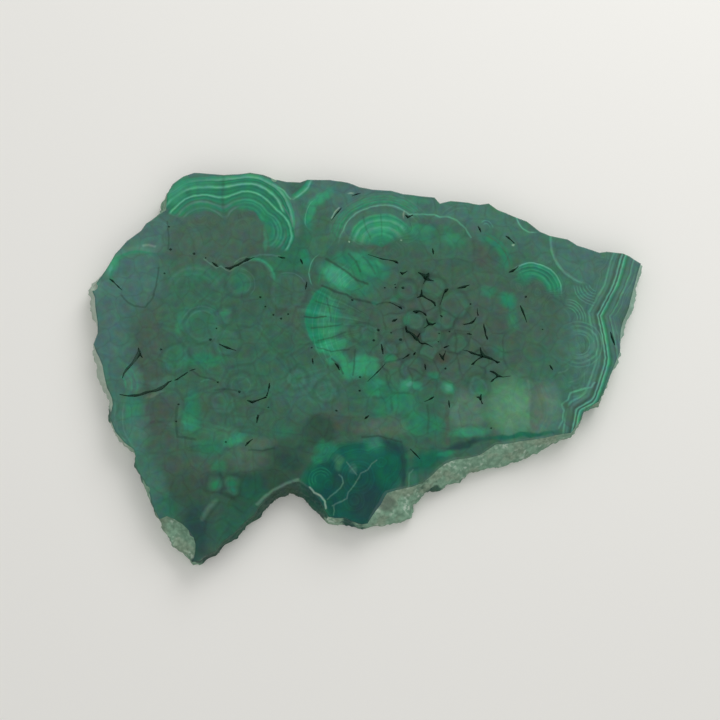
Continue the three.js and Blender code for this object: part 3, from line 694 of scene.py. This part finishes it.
# The bright petals round the middle, and the columns that they close in on.
begin_region("petals")
front([(-5.6, 11.8, 10.6)], [
    (-10, "vivid", 0), (-8.0, "vivid", 0.7), (-6.5, "bright", 0.6), (-3.8, "bright", 0.6),
    (-2.6, "vivid", 1), (-1.2, "vivid", 0.9), (-0.2, "vivid", 1), (0.5, "green", 0.6),
    (2.4, "brown", 0),
], facing=(182, 62, 14))
patches(
    "bright",
    (-7.6, 23.4, 5.6, 2.7, -38, 1.0), (-9, 4.4, 4.0, 1.8, 8, 0.9), (-7.6, 1.3, 2.6, 1.4, 20, 0.8),
    (-5, -1.8, 2.0, 3.0, 15, 0.9), (-1.4, -0.6, 1.9, 3.3, -15, 0.9), (1.4, -1.4, 2.2, 2.6, 0, 0.8),
    (-8, 12, 4.5, 6, 0, 0.25), (9.6, -11.5, 4, 2.4, 0, 0.3),
    soft=0.42,
)
patches(
    "vivid",
    (-0.5, 26.6, 6.0, 3.6, -30, 0.85), (-6.5, 28.6, 2.4, 1.4, -20, 0.6),
    (-16.2, 28.8, 1.4, 2.6, 20, 0.8), (-1, 20, 4, 2.4, 0, 0.5), (4, 25.4, 2.6, 2, 0, 0.4),
)
patches(
    "bright",
    (-1.6, 28.6, 3.0, 1.0, -28, 0.7), (0.6, 25.4, 2.6, 1.0, -35, 0.7),
    (3.2, 26.9, 1.6, 0.7, -30, 0.6),
)
vein("seam", 0.3, 0.45, [(-4.6, 30), (-2.6, 27.8), (-1.6, 25.2)], soft=0.45)
vein("seam", 0.3, 0.4, [(-0.6, 29), (1.2, 26.8), (2.6, 24.4)], soft=0.45)
arcs(-4, 21.5, [8.7], 148, 30, "vivid", "emerald", 0.5, 0.35)
arcs(2, 16, [8.8, 9.9, 11, 12.1, 13.2], 138, 13, "mint", "bright", 0.25, 0.22, soft=5)
arcs(6.4, 10.2, [15, 16.4, 17.8, 19.2, 20.6], 180, 26, "mint", "vivid", 0.2, 0.25)
arcs(-8.3, 24.3, [7.0], 168, 34, "mint", "green", 0.6, 0.25)
vein("seam", 0.35, 0.75, [
    (-11.6, 21), (-8, 19.4), (-5, 18.3), (-3.6, 17.1), (0, 16.6), (3, 15.8),
], soft=0.4)
vein("seam", 0.45, 0.7, [(-10.6, 28.4), (-5.5, 25.3), (-2.4, 22.6), (0.6, 21.4)], soft=0.4)
vein("seam", 0.3, 0.6, [(3, 15.8), (5.4, 16.4), (8, 16.2), (10.3, 14.9)])
vein("seam", 0.3, 0.7, [(-16.4, 12.3), (-13.4, 12), (-10.8, 12.4)])
vein("seam", 0.25, 0.5, [(-12.8, 6), (-9, 6.7), (-5.4, 7.9)])
vein("seam", 0.25, 0.5, [(-12.8, 3.9), (-9.2, 3.0), (-4.4, 3.4)])
vein("seam", 0.22, 0.45, [(-14.6, 9.2), (-11, 9.4), (-6.2, 10.2)])
vein("seam", 0.22, 0.4, [(-13.6, 16.6), (-10, 15.6), (-5.6, 14.4)])
vein("seam", 0.25, 0.4, [(-10.4, 17.6), (-9.8, 14.6), (-9.6, 11)])
vein("seam", 0.35, 0.6, [(5.2, -0.2), (7, 0.2), (8.2, 0.4), (9.8, 0.9)])
vein("seam", 0.35, 0.6, [(-9, 0.9), (-7.2, -1), (-6.2, -3)])
vein("seam", 0.3, 0.5, [(-2.9, 3.4), (-3, 0.6), (-3.4, -3.6)])
vein("brown", 0.9, 0.8, [(21.8, -12), (21.9, -22)], soft=0.5)
blobs(
    "core", "green",
    (12.6, -1.8, 3.2), (17.8, 7.8, 3.4), (-0.9, 8.1, 3.0), (17, 2.6, 2.7), (21.6, 11.6, 2.8),
    (24.6, 5.2, 2.7), (18.6, 20.4, 3.1), (11.4, 19.6, 2.8), (24, 15.6, 4.0),
    strength=0.6, seam=0.7,
)
blobs(
    "green", "teal",
    (12.8, 11.3, 3.0), (1, 7.8, 2.7), (-10.5, -8, 3.2), (-18.4, -4.5, 3.0), (30, -6.6, 3.1),
    (6.8, 3.8, 2.0),
    strength=0.6, seam=0.5,
)
patches(
    "vivid",
    (2.6, -6.6, 3.2, 2.6, 20, 0.6), (9.2, -10.6, 3.8, 2.6, -15, 0.5),
    (4.6, -12.4, 2.6, 2.2, 0, 0.4), (13.8, -16.6, 3.4, 3.2, 20, 0.7),
    (18.6, -17.2, 2.2, 3.0, 0, 0.6),
)
patches(
    "bright",
    (11, -5.6, 1.6, 1.3, 30, 0.8), (13.8, -6.5, 1.5, 1.0, -20, 0.8), (22.2, -7, 1.7, 1.5, 0, 0.8),
    (27.6, -18.8, 4.4, 1.4, 4, 0.8), (3.4, -6.0, 1.6, 1.3, 0, 0.4), (3.6, -8.8, 1.0, 0.7, 0, 0.4),
)
vein("seam", 0.3, 0.4, [(16.4, -12), (16.8, -15), (16.6, -19)], soft=0.5)
vein("seam", 0.3, 0.4, [(5.6, -3.6), (6.2, -6.4), (7, -8.4), (11.6, -8.4)], soft=0.5)
vein("seam", 0.3, 0.35, [(2, -9.6), (4.8, -9.9), (6.6, -8.8), (6.9, -13)], soft=0.5)
patches(
    "seam",
    (10.9, 9, 1.2, 1.5, 0, 0.6), (13.2, 7, 2.0, 1.3, -35, 0.7), (31.5, 2.4, 3.0, 1.2, -15, 0.5),
    (16.2, 23.6, 2.0, 1.2, -10, 0.6), (13.8, 13.9, 2.2, 0.8, 0, 0.5),
    (17.4, 10.6, 1.6, 0.8, 0, 0.4), (35.2, -3.4, 1.8, 1.2, -20, 0.4),
    (11.2, 1.6, 1.6, 0.8, 30, 0.4),
    soft=0.8,
)
patches("rust", (20.6, 1.2, 1.7, 1.3, 0, 0.6), (13.6, 7.1, 1.3, 1.0, -30, 0.5), soft=0.8)
patches("green", (0, 4.6, 2.6, 2.4, 0, 0.6))
patches("pale", (27, -12.6, 4, 4, 0, 0.35))
patches(
    "mint",
    (-8.6, 23.8, 3.2, 1.6, -38, 0.2), (12, -5.6, 0.9, 0.6, 0, 0.4), (22.3, -6.9, 0.9, 0.8, 0, 0.5),
)
patches(
    "vivid",
    (18.4, -4.3, 1.7, 1.4, 0, 0.6), (6.4, 1.0, 1.4, 1.2, 0, 0.6), (8, 17.6, 1.4, 1.0, 0, 0.4),
    (2.3, 16.4, 0.9, 0.7, 0, 0.4), (-22, -18.5, 2.8, 2.2, 0, 0.3), (31, -8, 1.6, 1.6, 0, 0.4),
    (36, 2.6, 1.8, 1.5, 0, 0.4), (38.3, 16.9, 2.4, 1.8, -30, 0.9), (33.4, 19.6, 2.2, 1.4, 0, 0.5),
    (39.8, 12.6, 1.4, 3.4, 0, 0.45), (11, 11.8, 1.2, 1.6, 0, 0.4), (8, -8.5, 5, 2.4, 0, 0.3),
)
patches("lime", (39, -12.0, 6.6, 8.0, 0, 0.8), soft=0.4)
patches("lime_pale", (39.4, -13.6, 5.4, 5.6, 0, 0.65), soft=0.6)
front([(38, -12.3, 6.0)], [
    (-0.4, "core", 0.0), (0.2, "core", 0.6), (2.6, "tan", 0.7), (3.5, "tan", 0.8),
    (4.2, "teal_pale", 0.8), (4.6, "pale", 0.7), (5.2, "teal_pale", 0.6), (5.7, "pale", 0.6),
    (6.3, "teal_pale", 0.5), (8.0, "teal_pale", 0.5), (9.4, "teal", 0),
], clip=(43.8, 0, 0, 0.4), facing=(-10, 42, 10))
patches("tan", (46.5, -11, 2.6, 5.5, 0, 0.6))
patches("pale", (50, -12, 2.2, 5, 0, 0.45))
vein("pale", 0.3, 0.5, [(43.4, -5.2), (43.9, -8), (44, -12)], soft=0.5)
# A painted highlight: the lit wall of the crack by the back lobe, laid as a thin white line beside
# it.
vein("white_and_glint", 0.22, 0.6, [(-9.3, 40), (-8.4, 41.5), (-7.2, 42.8)], soft=0.25)
# Tiny white marks: white flecks, and painted glints on the lips of voids.
patches(
    "white_and_glint",
    (-4.5, 33, 0.3, 0.22, 0, 0.9), (-4, 47.1, 0.8, 0.2, 5, 0.5), (40.1, 32.5, 0.35, 0.3, 0, 0.7),
    (10.4, 40.6, 0.25, 0.9, 0, 0.4), (10, 34, 0.25, 0.2, 0, 0.6),
)
end_region()

# Left of the middle: larger round columns, mostly dull.
begin_region("left of the middle")
patches(
    "bright",
    (-49.6, 10.8, 1.6, 3.0, -15, 0.45), (-35, -21, 3.0, 1.5, 12, 0.8),
    (-37.6, 13.4, 1.3, 1.0, 20, 0.6),
)
patches(
    "vivid",
    (-43.2, 0.6, 4.6, 1.8, 0, 0.65), (-50.5, 1, 3.2, 3.4, 0, 0.35), (-33.6, 22.4, 2.4, 2.8, 0, 0.6),
    (-44, 24.2, 5, 2.0, 0, 0.35), (-44, 12, 4, 3.4, 0, 0.35),
)
arcs(-44, 9.4, [4.6, 5.8], 105, 52, "teal_pale", "green", 0.6, 0.35)
arcs(-67, -6.4, [2.8, 4.4, 5.8], 22, 34, "bright", "teal", 0.85, 0.45)
patches("teal_pale", (-62.4, -4.4, 2.2, 3.0, 10, 0.6))
blobs(
    "green", "teal",
    (-38, 13, 2.6), (-51, 0.8, 4.0), (-33.5, -6, 3.4), (-38, -11, 3.4), (-34, 22.4, 4.2),
    (-21, 19.3, 5.2), (-37.5, 5.5, 3.8), (-44, 10, 5.0),
    strength=0.4, seam=0.35,
)
front([(-31, 22.4, 6.6)], [
    (-3, "core", 0), (-1.4, "core", 0.5), (-0.4, "bright", 0.8), (0.2, "emerald", 0.5),
    (1.5, "green", 0),
], facing=(48, 42, 20))
arcs(-34.5, 21.5, [3.2, 4.4], 20, 60, "teal_pale", "green", 0.45, 0.3)
arcs(-21, 19.5, [5.1], 70, 40, "teal_pale", "green", 0.7, 0.3)
arcs(-42, -8.6, [3.8], 95, 34, "teal_pale", "green", 0.5, 0.3)
arcs(-33.4, -6.4, [2.4], 90, 150, "teal_pale", "green", 0.3, 0.3)
patches(
    "vivid",
    (-46.2, -11, 1.8, 3.4, 0, 0.6), (-46.6, -15.4, 2.8, 4.0, 8, 0.45),
    (-41.8, -22.6, 3.4, 2.2, 0, 0.5), (-39, -28, 2.2, 1.6, 0, 0.4), (-62, -12.4, 2.6, 3.4, 0, 0.4),
)
patches("bright", (-47, -16.6, 1.8, 2.0, 0, 0.4), (-63.2, -13, 1.2, 2.4, 0, 0.35))
patches("lime", (-39, -19, 4, 1.6, 0, 0.35))
patches(
    "tan",
    (-56.5, -8.6, 2.4, 0.6, 20, 0.8), (-31, -26, 5.0, 3.2, 0, 0.45), (-27.5, -22, 3.4, 1.5, 0, 0.5),
)
vein("seam", 0.35, 0.5, [(-31, -23.9), (-27.5, -23.8), (-24.2, -23.4)])
vein("seam", 0.3, 0.5, [(-46.6, -2.2), (-44.6, -3.9), (-42.4, -4.4), (-40.4, -5.0)])
vein("seam", 0.3, 0.5, [(-40.4, -7.6), (-37, -7.4), (-34.4, -7.8)])
end_region()

# The arm that reaches out to the front left.
begin_region("front left arm")
front([(-52, -14.5, 12.9)], [
    (-1.2, "teal", 0), (-0.5, "teal", 0.8), (0, "teal_pale", 0.95), (0.4, "teal", 0.8),
    (1.9, "teal", 0.6), (2.2, "teal_pale", 0.7), (2.5, "teal", 0.5), (3.5, "teal", 0),
], facing=(192, 26, 10))
vein("teal_pale", 0.3, 0.7, [(-66.9, -12), (-67, -15), (-66, -18.6), (-64, -21.4)])
vein("seam", 0.5, 0.5, [(-50.4, -12), (-50.6, -16), (-50, -20.2), (-45.4, -20.8)])
vein("seam", 0.6, 0.6, [(-38.5, -29.8), (-38, -32.5), (-38.3, -35.3), (-35, -36.6)], soft=0.5)
blobs(
    "vivid", "green",
    (-39.9, -32.6, 2.5), (-35.4, -32.4, 2.4), (-35.3, -34.2, 2.0),
    strength=0.75, seam=0.6,
)
patches(
    "deep_green",
    (-34.5, -43, 7.0, 3.6, 38, 0.35), (-30, -34, 3.4, 3.4, 0, 0.5), (-52.5, -38.5, 3, 3, 0, 0.4),
)
vein("pale", 0.5, 0.45, [(-39.6, -37.2), (-41.6, -39.2), (-43, -42)], soft=0.8)
vein("seam", 0.4, 0.4, [(-38.6, -37.6), (-40.6, -40), (-42, -42.6)], soft=0.5)
vein("pale", 0.4, 0.8, [
    (-28.6, -38), (-26.5, -35.8), (-24.5, -34.3), (-21, -32.6), (-18, -31.6),
], soft=0.5)
end_region()

# The deep blue-green lobe at the front, with its forked light veins.
begin_region("front lobe")
front([(-2, -31, 9.6), (-10, -33, 6.4), (4, -27, 6.5), (-3, -37, 8)], [
    (-9, "deep", 0.95), (-1.2, "deep", 0.95), (0.6, "deep_green", 0.6), (1.6, "deep_green", 0),
], clip=(0, -21.5, -90, 1.0))
patches(
    "deep_blue",
    (0, -38, 4.0, 4.6, 0, 0.8), (9.8, -28.5, 0.9, 4.4, 0, 0.9), (6, -22.5, 4.6, 1.7, -12, 0.7),
    (26.4, -22.3, 4.6, 0.9, 16, 0.85), (-7, -32, 2.2, 2.4, 0, 0.5),
)
patches("deep_teal", (0, -25.2, 6.4, 2.8, 0, 0.8), (-5, -27, 3, 3, 0, 0.5))
patches(
    "deep_green",
    (5.6, -29, 3.4, 4.0, 0, 0.8), (-12.5, -31.5, 3.0, 3.0, 0, 0.9),
    (16.5, -26.5, 5.0, 2.4, 22, 0.9), (12.8, -31, 1.3, 2.4, 0, 0.8), (-4, -24, 3, 1.6, 0, 0.5),
    (41, -19.9, 9.5, 0.7, 4, 0.85),
)
patches("teal", (12.8, -31.2, 1.0, 1.9, 0, 0.6), (-3.3, -28.8, 1.2, 0.9, -40, 0.5))
blobs("dark", "dark", (-12.5, -18.8, 4.6), strength=0.85, seam=0.3)
patches(
    "vivid",
    (-10.3, -23.8, 2.6, 2.4, 0, 0.8), (2, -22.4, 2.2, 2.0, 0, 0.8),
    (-12.8, -26.2, 1.6, 1.2, 0, 0.7),
)
patches("teal_pale", (2.2, -22, 1.6, 1.4, 0, 0.4))
patches("lime", (-7.2, -26.4, 1.2, 1.1, 0, 0.4), (-7.4, -28.2, 1.0, 1.2, 0, 0.3))
arcs(-12, -31.4, [1.4, 2.2, 3.0], 120, 100, "vivid", "deep_green", 0.6, 0.3)
patches("vivid", (21.4, -24.8, 2.2, 0.8, 12, 0.8))
vein("seam", 0.3, 0.6, [(-1, -20.3), (3, -19.9), (7, -21), (9.6, -21.6)])
VEINS = [
    [(-8.8, -38.4), (-6.5, -37.3), (-5.1, -36.5), (-4.6, -34.8), (-3, -33), (-1.3, -30),
     (0.5, -29), (1.6, -27.5), (2.8, -26.5)],
    [(-10.2, -36.8), (-8.5, -35.3), (-6.8, -33.8), (-5.9, -32.5), (-6.3, -31), (-7, -30.3)],
    [(-8.4, -38.4), (-8.4, -41)],
    [(-5, -27), (-3.8, -28.5), (-2.5, -30.3)],
    [(11.3, -33.5), (11.5, -30), (12.5, -29)],
]
for points in VEINS:
    vein("teal_pale", 0.2, 0.7, points, soft=0.24)
vein("white_and_glint", 0.26, 0.75, [
    (-14.6, -33.7), (-13.6, -35.1), (-12, -36), (-10.9, -37.2), (-10.5, -39.2),
])
end_region()

# All the regions, one over the other.
tree = growth
waved, frayed, colour, field = base
for region in regions:
    laid = tree.nodes.new("ShaderNodeGroup")
    laid.node_tree = region
    wire(laid, enumerate((waved, frayed, colour, field)))
    colour, field = laid.outputs[:2]


# Over them come shades of the colour so far: the scattered columns, duller at heart, greener at
# the rim and parted by dark seams, the larger ones on the left, the fine bands that follow the
# fronts, the fibres that run out from the middle, and slow clouds.
def area(*ovals):
    """A part of the stone, with a soft edge."""
    return spanned(nearest_of(from_oval(waved, *oval) for oval in ovals), 1.22, 0.78)


def shaded(share, distance, *stops):
    """Multiplies the colour so far by shades that go by distance, as fully as the share says."""
    global colour
    shade = ramp(distance, [(*stop, 1) for stop in stops])[0]
    colour = vector_of("MULTIPLY", colour, mixed(share, (1, 1, 1, 1), shade))


banded = area(
    (-38, 46, 20, 9), (4, 38, 10, 9), (67, 14, 6, 18), (62, -4, 6, 14), (48, 22, 8, 7),
    (-3, -31, 13, 10),
)
clear = area((38, -12, 6.5, 7), (49, -11, 5, 6), (-10, 12, 5, 8))
seamed = area((15, 6, 14, 13), (32, 3, 7, 7))
lobed = area((-42, -2, 18, 26), (-20, 2, 12, 16))
plain = math_of("SUBTRACT", 1.0, math_of("MAXIMUM", banded, clear))
from_edge = node("ShaderNodeTexVoronoi", cell_place, None, 1.0,
                 feature="DISTANCE_TO_EDGE", voronoi_dimensions="2D")
broken_up = node("ShaderNodeTexNoise", frayed, None, 0.22, 1.0)
shaded(
    plain, from_edge,
    (0, 0.92, 0.92, 0.92), (0.06, 0.96, 1.03, 1.02), (0.14, 0.96, 1.08, 1.06),
    (0.28, 1.0, 1.02, 1.01), (0.5, 1.07, 0.92, 0.95),
)
shaded(
    math_of("MULTIPLY", seamed, spanned(broken_up, 0.38, 0.58)), from_edge,
    (0, 0.78, 0.78, 0.78), (0.05, 0.91, 0.91, 0.91), (0.12, 1, 1, 1),
)
LARGE_COLUMN = 9.5
lobe_edge = node("ShaderNodeTexVoronoi", scaled(waved, 1 / LARGE_COLUMN), None, 1.0,
                 feature="DISTANCE_TO_EDGE", voronoi_dimensions="2D")
shaded(
    lobed, lobe_edge,
    (0, 0.93, 0.92, 0.93), (0.04, 0.98, 1.02, 1.02), (0.08, 1.0, 1.12, 1.10),
    (0.12, 0.98, 1.02, 1.01), (0.17, 0.98, 1.08, 1.06), (0.25, 1.0, 1.0, 1.0),
    (0.5, 1.06, 0.94, 0.96),
)
cell_tone = node("ShaderNodeTexVoronoi", cell_place, None, 1.0, output=1, voronoi_dimensions="2D")
cell_shade = spanned(cell_tone, 0.0, 1.0, 0.93, 1.08, smooth=False)
fine = node("ShaderNodeTexNoise", None, field, 1.9, 2.0, noise_dimensions="1D")
strong = spanned(banded, 0.0, 1.0, 0.25, 0.8, smooth=False)
band_shade = math_of("MULTIPLY_ADD", math_of("SUBTRACT", fine, 0.5), strong, 1.0)
towards = vector_of("NORMALIZE", vector_of("SUBTRACT", waved, (6, 10, 0)))
fibres = node("ShaderNodeTexNoise", scaled(towards, 14.0), None, 1.0, 3.0)
near_petals = spanned(vector_of("DISTANCE", waved, (-9, 12, 0)), 7.5, 12, 1.0, 0.0)
fibre_shade = math_of("MULTIPLY_ADD", math_of("SUBTRACT", fibres, 0.5),
                      math_of("MULTIPLY", near_petals, 0.9), 1.0)
shade = math_of("MULTIPLY", math_of("MULTIPLY", cell_shade, band_shade), fibre_shade)
cloud = node("ShaderNodeTexNoise", waved, None, 0.45, 3.0, output=1)
tint = vector_of("MULTIPLY_ADD", cloud, (0.9, 0.76, 0.8), (0.55, 0.63, 0.61))
colour = vector_of("MULTIPLY", colour, tint)
group_out = growth.nodes.new("NodeGroupOutput")
growth.links.new(scaled(colour, shade), group_out.inputs["Colour"])

# ---------------------------------------------------------------------------- the pale crust
# Where the stone grew on, a crust of pale weathered matrix still clings to its edge, widest along
# the front. It is a crumbly mixture of green-grey and beige, with whitish flecks that are partly
# white matrix and partly painted highlights on its lumps, and it is paler towards the left and
# right ends of the slice.
CLINGS_AT = (
    (36, -24, 24, 7, 14), (8, -39, 10, 8, 10), (-9, -43, 2.8, 2.4, 0), (-73, 9, 5, 19, 0),
    (-71, -4, 4, 8, 20), (73, 15, 6, 18, -15), (67, -4, 5, 9, -20), (-56.5, 44, 4, 4.5, 0),
    (-25, 51.5, 4, 2, -20), (-50.5, -47.5, 8, 6, -52), (-65, -20.5, 7, 3, -35),
    (-57.6, -34, 2, 3, 0),
)
where = begin_group(
    "pale crust",
    [("Position", "Vector")],
    [("Crust", "Float"), ("Colour", "Color"), ("Grain", "Float")],
)[0]
place = scaled(where, 1 / MM)
nearest = nearest_of(from_oval(place, *oval) for oval in CLINGS_AT)
patchy = node("ShaderNodeTexNoise", place, None, 0.30, 3.0)
grain = node("ShaderNodeTexNoise", place, None, 0.9, 6.0)
drift = node("ShaderNodeTexNoise", vector_of("ADD", place, (40, 20, 9)), None, 0.16, 3.0)
uneven = math_of("ADD", nearest, spanned(patchy, 0.3, 0.7, -0.3, 0.3, smooth=False))
DARK_GREEN_GREY, GREEN_GREY = (0.14, 0.27, 0.185, 1), (0.235, 0.41, 0.285, 1)
DARK_BEIGE, BEIGE = (0.17, 0.20, 0.14, 1), (0.29, 0.32, 0.23, 1)
WHITE_AND_HIGHLIGHT = (0.42, 0.54, 0.44, 1)
STAIN = (0.085, 0.125, 0.092, 1)
LEFT_RIM, RIGHT_RIM = (0.46, 0.54, 0.46, 1), (0.29, 0.47, 0.38, 1)
green_grey = mixed(spanned(grain, 0.3, 0.7), DARK_GREEN_GREY, GREEN_GREY)
beige = mixed(spanned(grain, 0.3, 0.7), DARK_BEIGE, BEIGE)
mixture = mixed(spanned(drift, 0.47, 0.62, 0.0, 0.45), green_grey, beige)
# Whitish flecks where two noises peak: partly white matrix, partly painted highlights on the
# crust's lumps.
white_and_highlit_share = math_of("MULTIPLY", spanned(patchy, 0.52, 0.66), spanned(grain, 0.46, 0.60))
mixture = mixed(white_and_highlit_share, mixture, WHITE_AND_HIGHLIGHT)
stain = from_oval(place, 5.2, -37.6, 2.5, 2.2)
mixture = mixed(spanned(stain, 1.26, 0.7, 0.0, 0.75), mixture, STAIN)
side = node("ShaderNodeSeparateXYZ", place)
mixture = mixed(spanned(side, -58, -72, 0.0, 0.75), mixture, LEFT_RIM)
mixture = mixed(spanned(side, 62, 70, 0.0, 0.7), mixture, RIGHT_RIM)
crust = end_group(spanned(uneven, 1.18, 0.9), mixture, grain)


# ------------------------------------------------------------------------------ the finishes
# The slice is ground and polished on top and left as sawn below. Its rim is as it broke, and
# weathered, and its cracks stayed open when it was cut. All four show the same pattern.
def finish(name):
    """Starts one finish of the stone: its tree, its shader and the place on it."""
    global tree
    material = bpy.data.materials[name]
    material.use_nodes = True
    tree = material.node_tree
    where = node("ShaderNodeTexCoord", output=3)
    return tree.nodes["Principled BSDF"], where


def bumped(shader, height, depth):
    """Roughens a finish by its own height, as deep as the depth in millimetres."""
    bump = tree.nodes.new("ShaderNodeBump")
    bump.inputs["Distance"].default_value = depth * MM
    tree.links.new(height, bump.inputs["Height"])
    tree.links.new(bump.outputs["Normal"], shader.inputs["Normal"])


# The polish: glassy, with the faint unevenness that a wheel leaves on a stone of mixed hardness.
shader, where = finish("polished_malachite")
colour = placed(growth, where)
tree.links.new(colour, shader.inputs["Base Color"])
smear = node("ShaderNodeTexNoise", where, None, 60, 3.0)
tree.links.new(spanned(smear, 0.3, 0.7, 0.07, 0.14), shader.inputs["Roughness"])
shader.inputs["IOR"].default_value = 1.5

# The sawn back: the same bands, dull under the fine arcs of the blade.
shader, where = finish("sawn_malachite")
colour = placed(growth, where)
BLADE_CENTRE = (0.05, -0.32, 0)
MARKS_PER_METRE = 1400
swing = math_of("MULTIPLY", vector_of("DISTANCE", where, BLADE_CENTRE), MARKS_PER_METRE)
arcs_cut = node("ShaderNodeTexNoise", None, swing, 1.0, 2.0, noise_dimensions="1D")
tree.links.new(scaled(colour, spanned(arcs_cut, 0.2, 0.8, 0.85, 1.35)), shader.inputs["Base Color"])
bumped(shader, arcs_cut, 0.06)
shader.inputs["Roughness"].default_value = 0.6

# The broken rim: dull weathered stone, under the pale crust where that still clings.
WEATHERED = (0.10, 0.18, 0.13, 1)
shader, where = finish("rough_rim")
colour = placed(growth, where)
pale = placed(crust, where)
crust_colour = placed(crust, where, output=1)
grain = placed(crust, where, output=2)
weathered = mixed(spanned(grain, 0.45, 0.7, 0.0, 0.25), scaled(colour, 0.8), WEATHERED)
tree.links.new(mixed(pale, weathered, crust_colour), shader.inputs["Base Color"])
bumped(shader, grain, 0.35)
shader.inputs["Roughness"].default_value = 0.8

# The open cracks: stone at the lip, made a little darker there as painted shade on the crack's
# walls, dark green inside, with a skin of fine crystals, which is paler towards the left end of the
# slice.
DARK_CRYSTAL, CRYSTAL = (0.05, 0.15, 0.10, 1), (0.10, 0.27, 0.19, 1)
PALE_CRYSTAL = (0.20, 0.36, 0.28, 1)
shader, where = finish("open_cracks")
# The stone on the crack's walls is darkened a little: painted shade.
colour = scaled(placed(growth, where), 0.9)
height = node("ShaderNodeSeparateXYZ", where, output=2)
depth_in = math_of("SUBTRACT", FACE_HEIGHT * MM, height)
sparkle = node("ShaderNodeTexVoronoi", where, None, 2500)
inside = mixed(spanned(sparkle, 0.2, 0.8), DARK_CRYSTAL, CRYSTAL)
sideways = node("ShaderNodeSeparateXYZ", where)
inside = mixed(spanned(sideways, -30 * MM, -50 * MM, 0.0, 0.8), inside, PALE_CRYSTAL)
below_lip = spanned(depth_in, 0.1 * MM, 1.4 * MM)
tree.links.new(mixed(below_lip, colour, inside), shader.inputs["Base Color"])
shader.inputs["Roughness"].default_value = 0.55

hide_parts("malachite_slice")
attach(slab, "root")

# ------------------------------------------------------------------------------ the table
# The slice lies on a plain matt board, painted off-white. It is so wide that its edge is out of
# the way, and it sits a hair below the sawn face.
TABLE_WIDTH = 6
TABLE_GAP = 0.05 * MM
OFF_WHITE = (0.87, 0.86, 0.825, 1)
bpy.ops.object.select_all(action="DESELECT")
bpy.ops.mesh.primitive_plane_add(size=TABLE_WIDTH, location=(0, 0, -TABLE_GAP))
table_top = bpy.context.active_object
table_top.name = "table_top"
matt_board = bpy.data.materials.new("table")
matt_board.use_nodes = True
shader = matt_board.node_tree.nodes["Principled BSDF"]
shader.inputs["Base Color"].default_value = OFF_WHITE
shader.inputs["Roughness"].default_value = 0.6
table_top.data.materials.append(matt_board)

# -------------------------------------------------------------------------------- the camera
# It looks down steeply from in front, at about the middle of the polish. The lens is as long as
# it takes for the view to be a little wider than the slice from there.
AIM = (-0.0016, 0.0006, 0.008)
DISTANCE = 0.380
ELEVATION = math.radians(80)
VIEW_WIDTH = 0.19332
SENSOR_WIDTH = 36
camera_data = bpy.data.cameras.new("camera")
camera = bpy.data.objects.new("camera", camera_data)
bpy.context.collection.objects.link(camera)
back = DISTANCE * math.cos(ELEVATION)
up = DISTANCE * math.sin(ELEVATION)
camera.location = (AIM[0], AIM[1] - back, AIM[2] + up)
camera.rotation_euler = (math.radians(90) - ELEVATION, 0, 0)
camera_data.sensor_width = SENSOR_WIDTH
camera_data.lens = SENSOR_WIDTH * DISTANCE / VIEW_WIDTH
bpy.context.scene.camera = camera

# --------------------------------------------------------------------------------- the light
# Soft light comes from all round, a little stronger from the front and weak near the table. A dim
# patch straight overhead keeps the middle of the polish clear. One large softbox stands behind on
# the right. How far from overhead a direction lies is given as a cosine.
OVERHEAD = (0.0, 0.07, 0.9975)
PATCH_EDGE, PATCH_END = 0.9975, 0.945
NEAR_TABLE, WELL_UP = 0.1, 0.75
ROOM_WHITE = (1.0, 1.0, 0.99, 1)
SOFTBOX_PLACE = (0.24, 0.48, 0.42)
SOFTBOX_WIDTH = 0.45
SOFTBOX_WATTS = 2.0
SOFTBOX_TILT, SOFTBOX_TURN = math.radians(-42), math.radians(-27)
world = bpy.data.worlds.new("room")
bpy.context.scene.world = world
world.use_nodes = True
tree = world.node_tree
towards = node("ShaderNodeTexCoord")
overhead = vector_of("DOT_PRODUCT", towards, OVERHEAD)
patch = spanned(overhead, PATCH_EDGE, PATCH_END, 0.24, 0.77)
ring = math_of("MULTIPLY", patch, spanned(overhead, NEAR_TABLE, WELL_UP, 0.35, 1.0))
front_to_back = node("ShaderNodeSeparateXYZ", towards, output=1)
glow = math_of("MULTIPLY", ring, spanned(front_to_back, -0.8, 0.8, 1.25, 0.75, smooth=False))
tree.links.new(glow, tree.nodes["Background"].inputs["Strength"])
tree.nodes["Background"].inputs["Color"].default_value = ROOM_WHITE
lamp_data = bpy.data.lights.new("softbox", "AREA")
lamp = bpy.data.objects.new("softbox", lamp_data)
bpy.context.collection.objects.link(lamp)
lamp_data.size = SOFTBOX_WIDTH
lamp_data.energy = SOFTBOX_WATTS
lamp.location = SOFTBOX_PLACE
lamp.rotation_euler = (SOFTBOX_TILT, 0, SOFTBOX_TURN)
bpy.context.scene.view_settings.view_transform = "Standard"
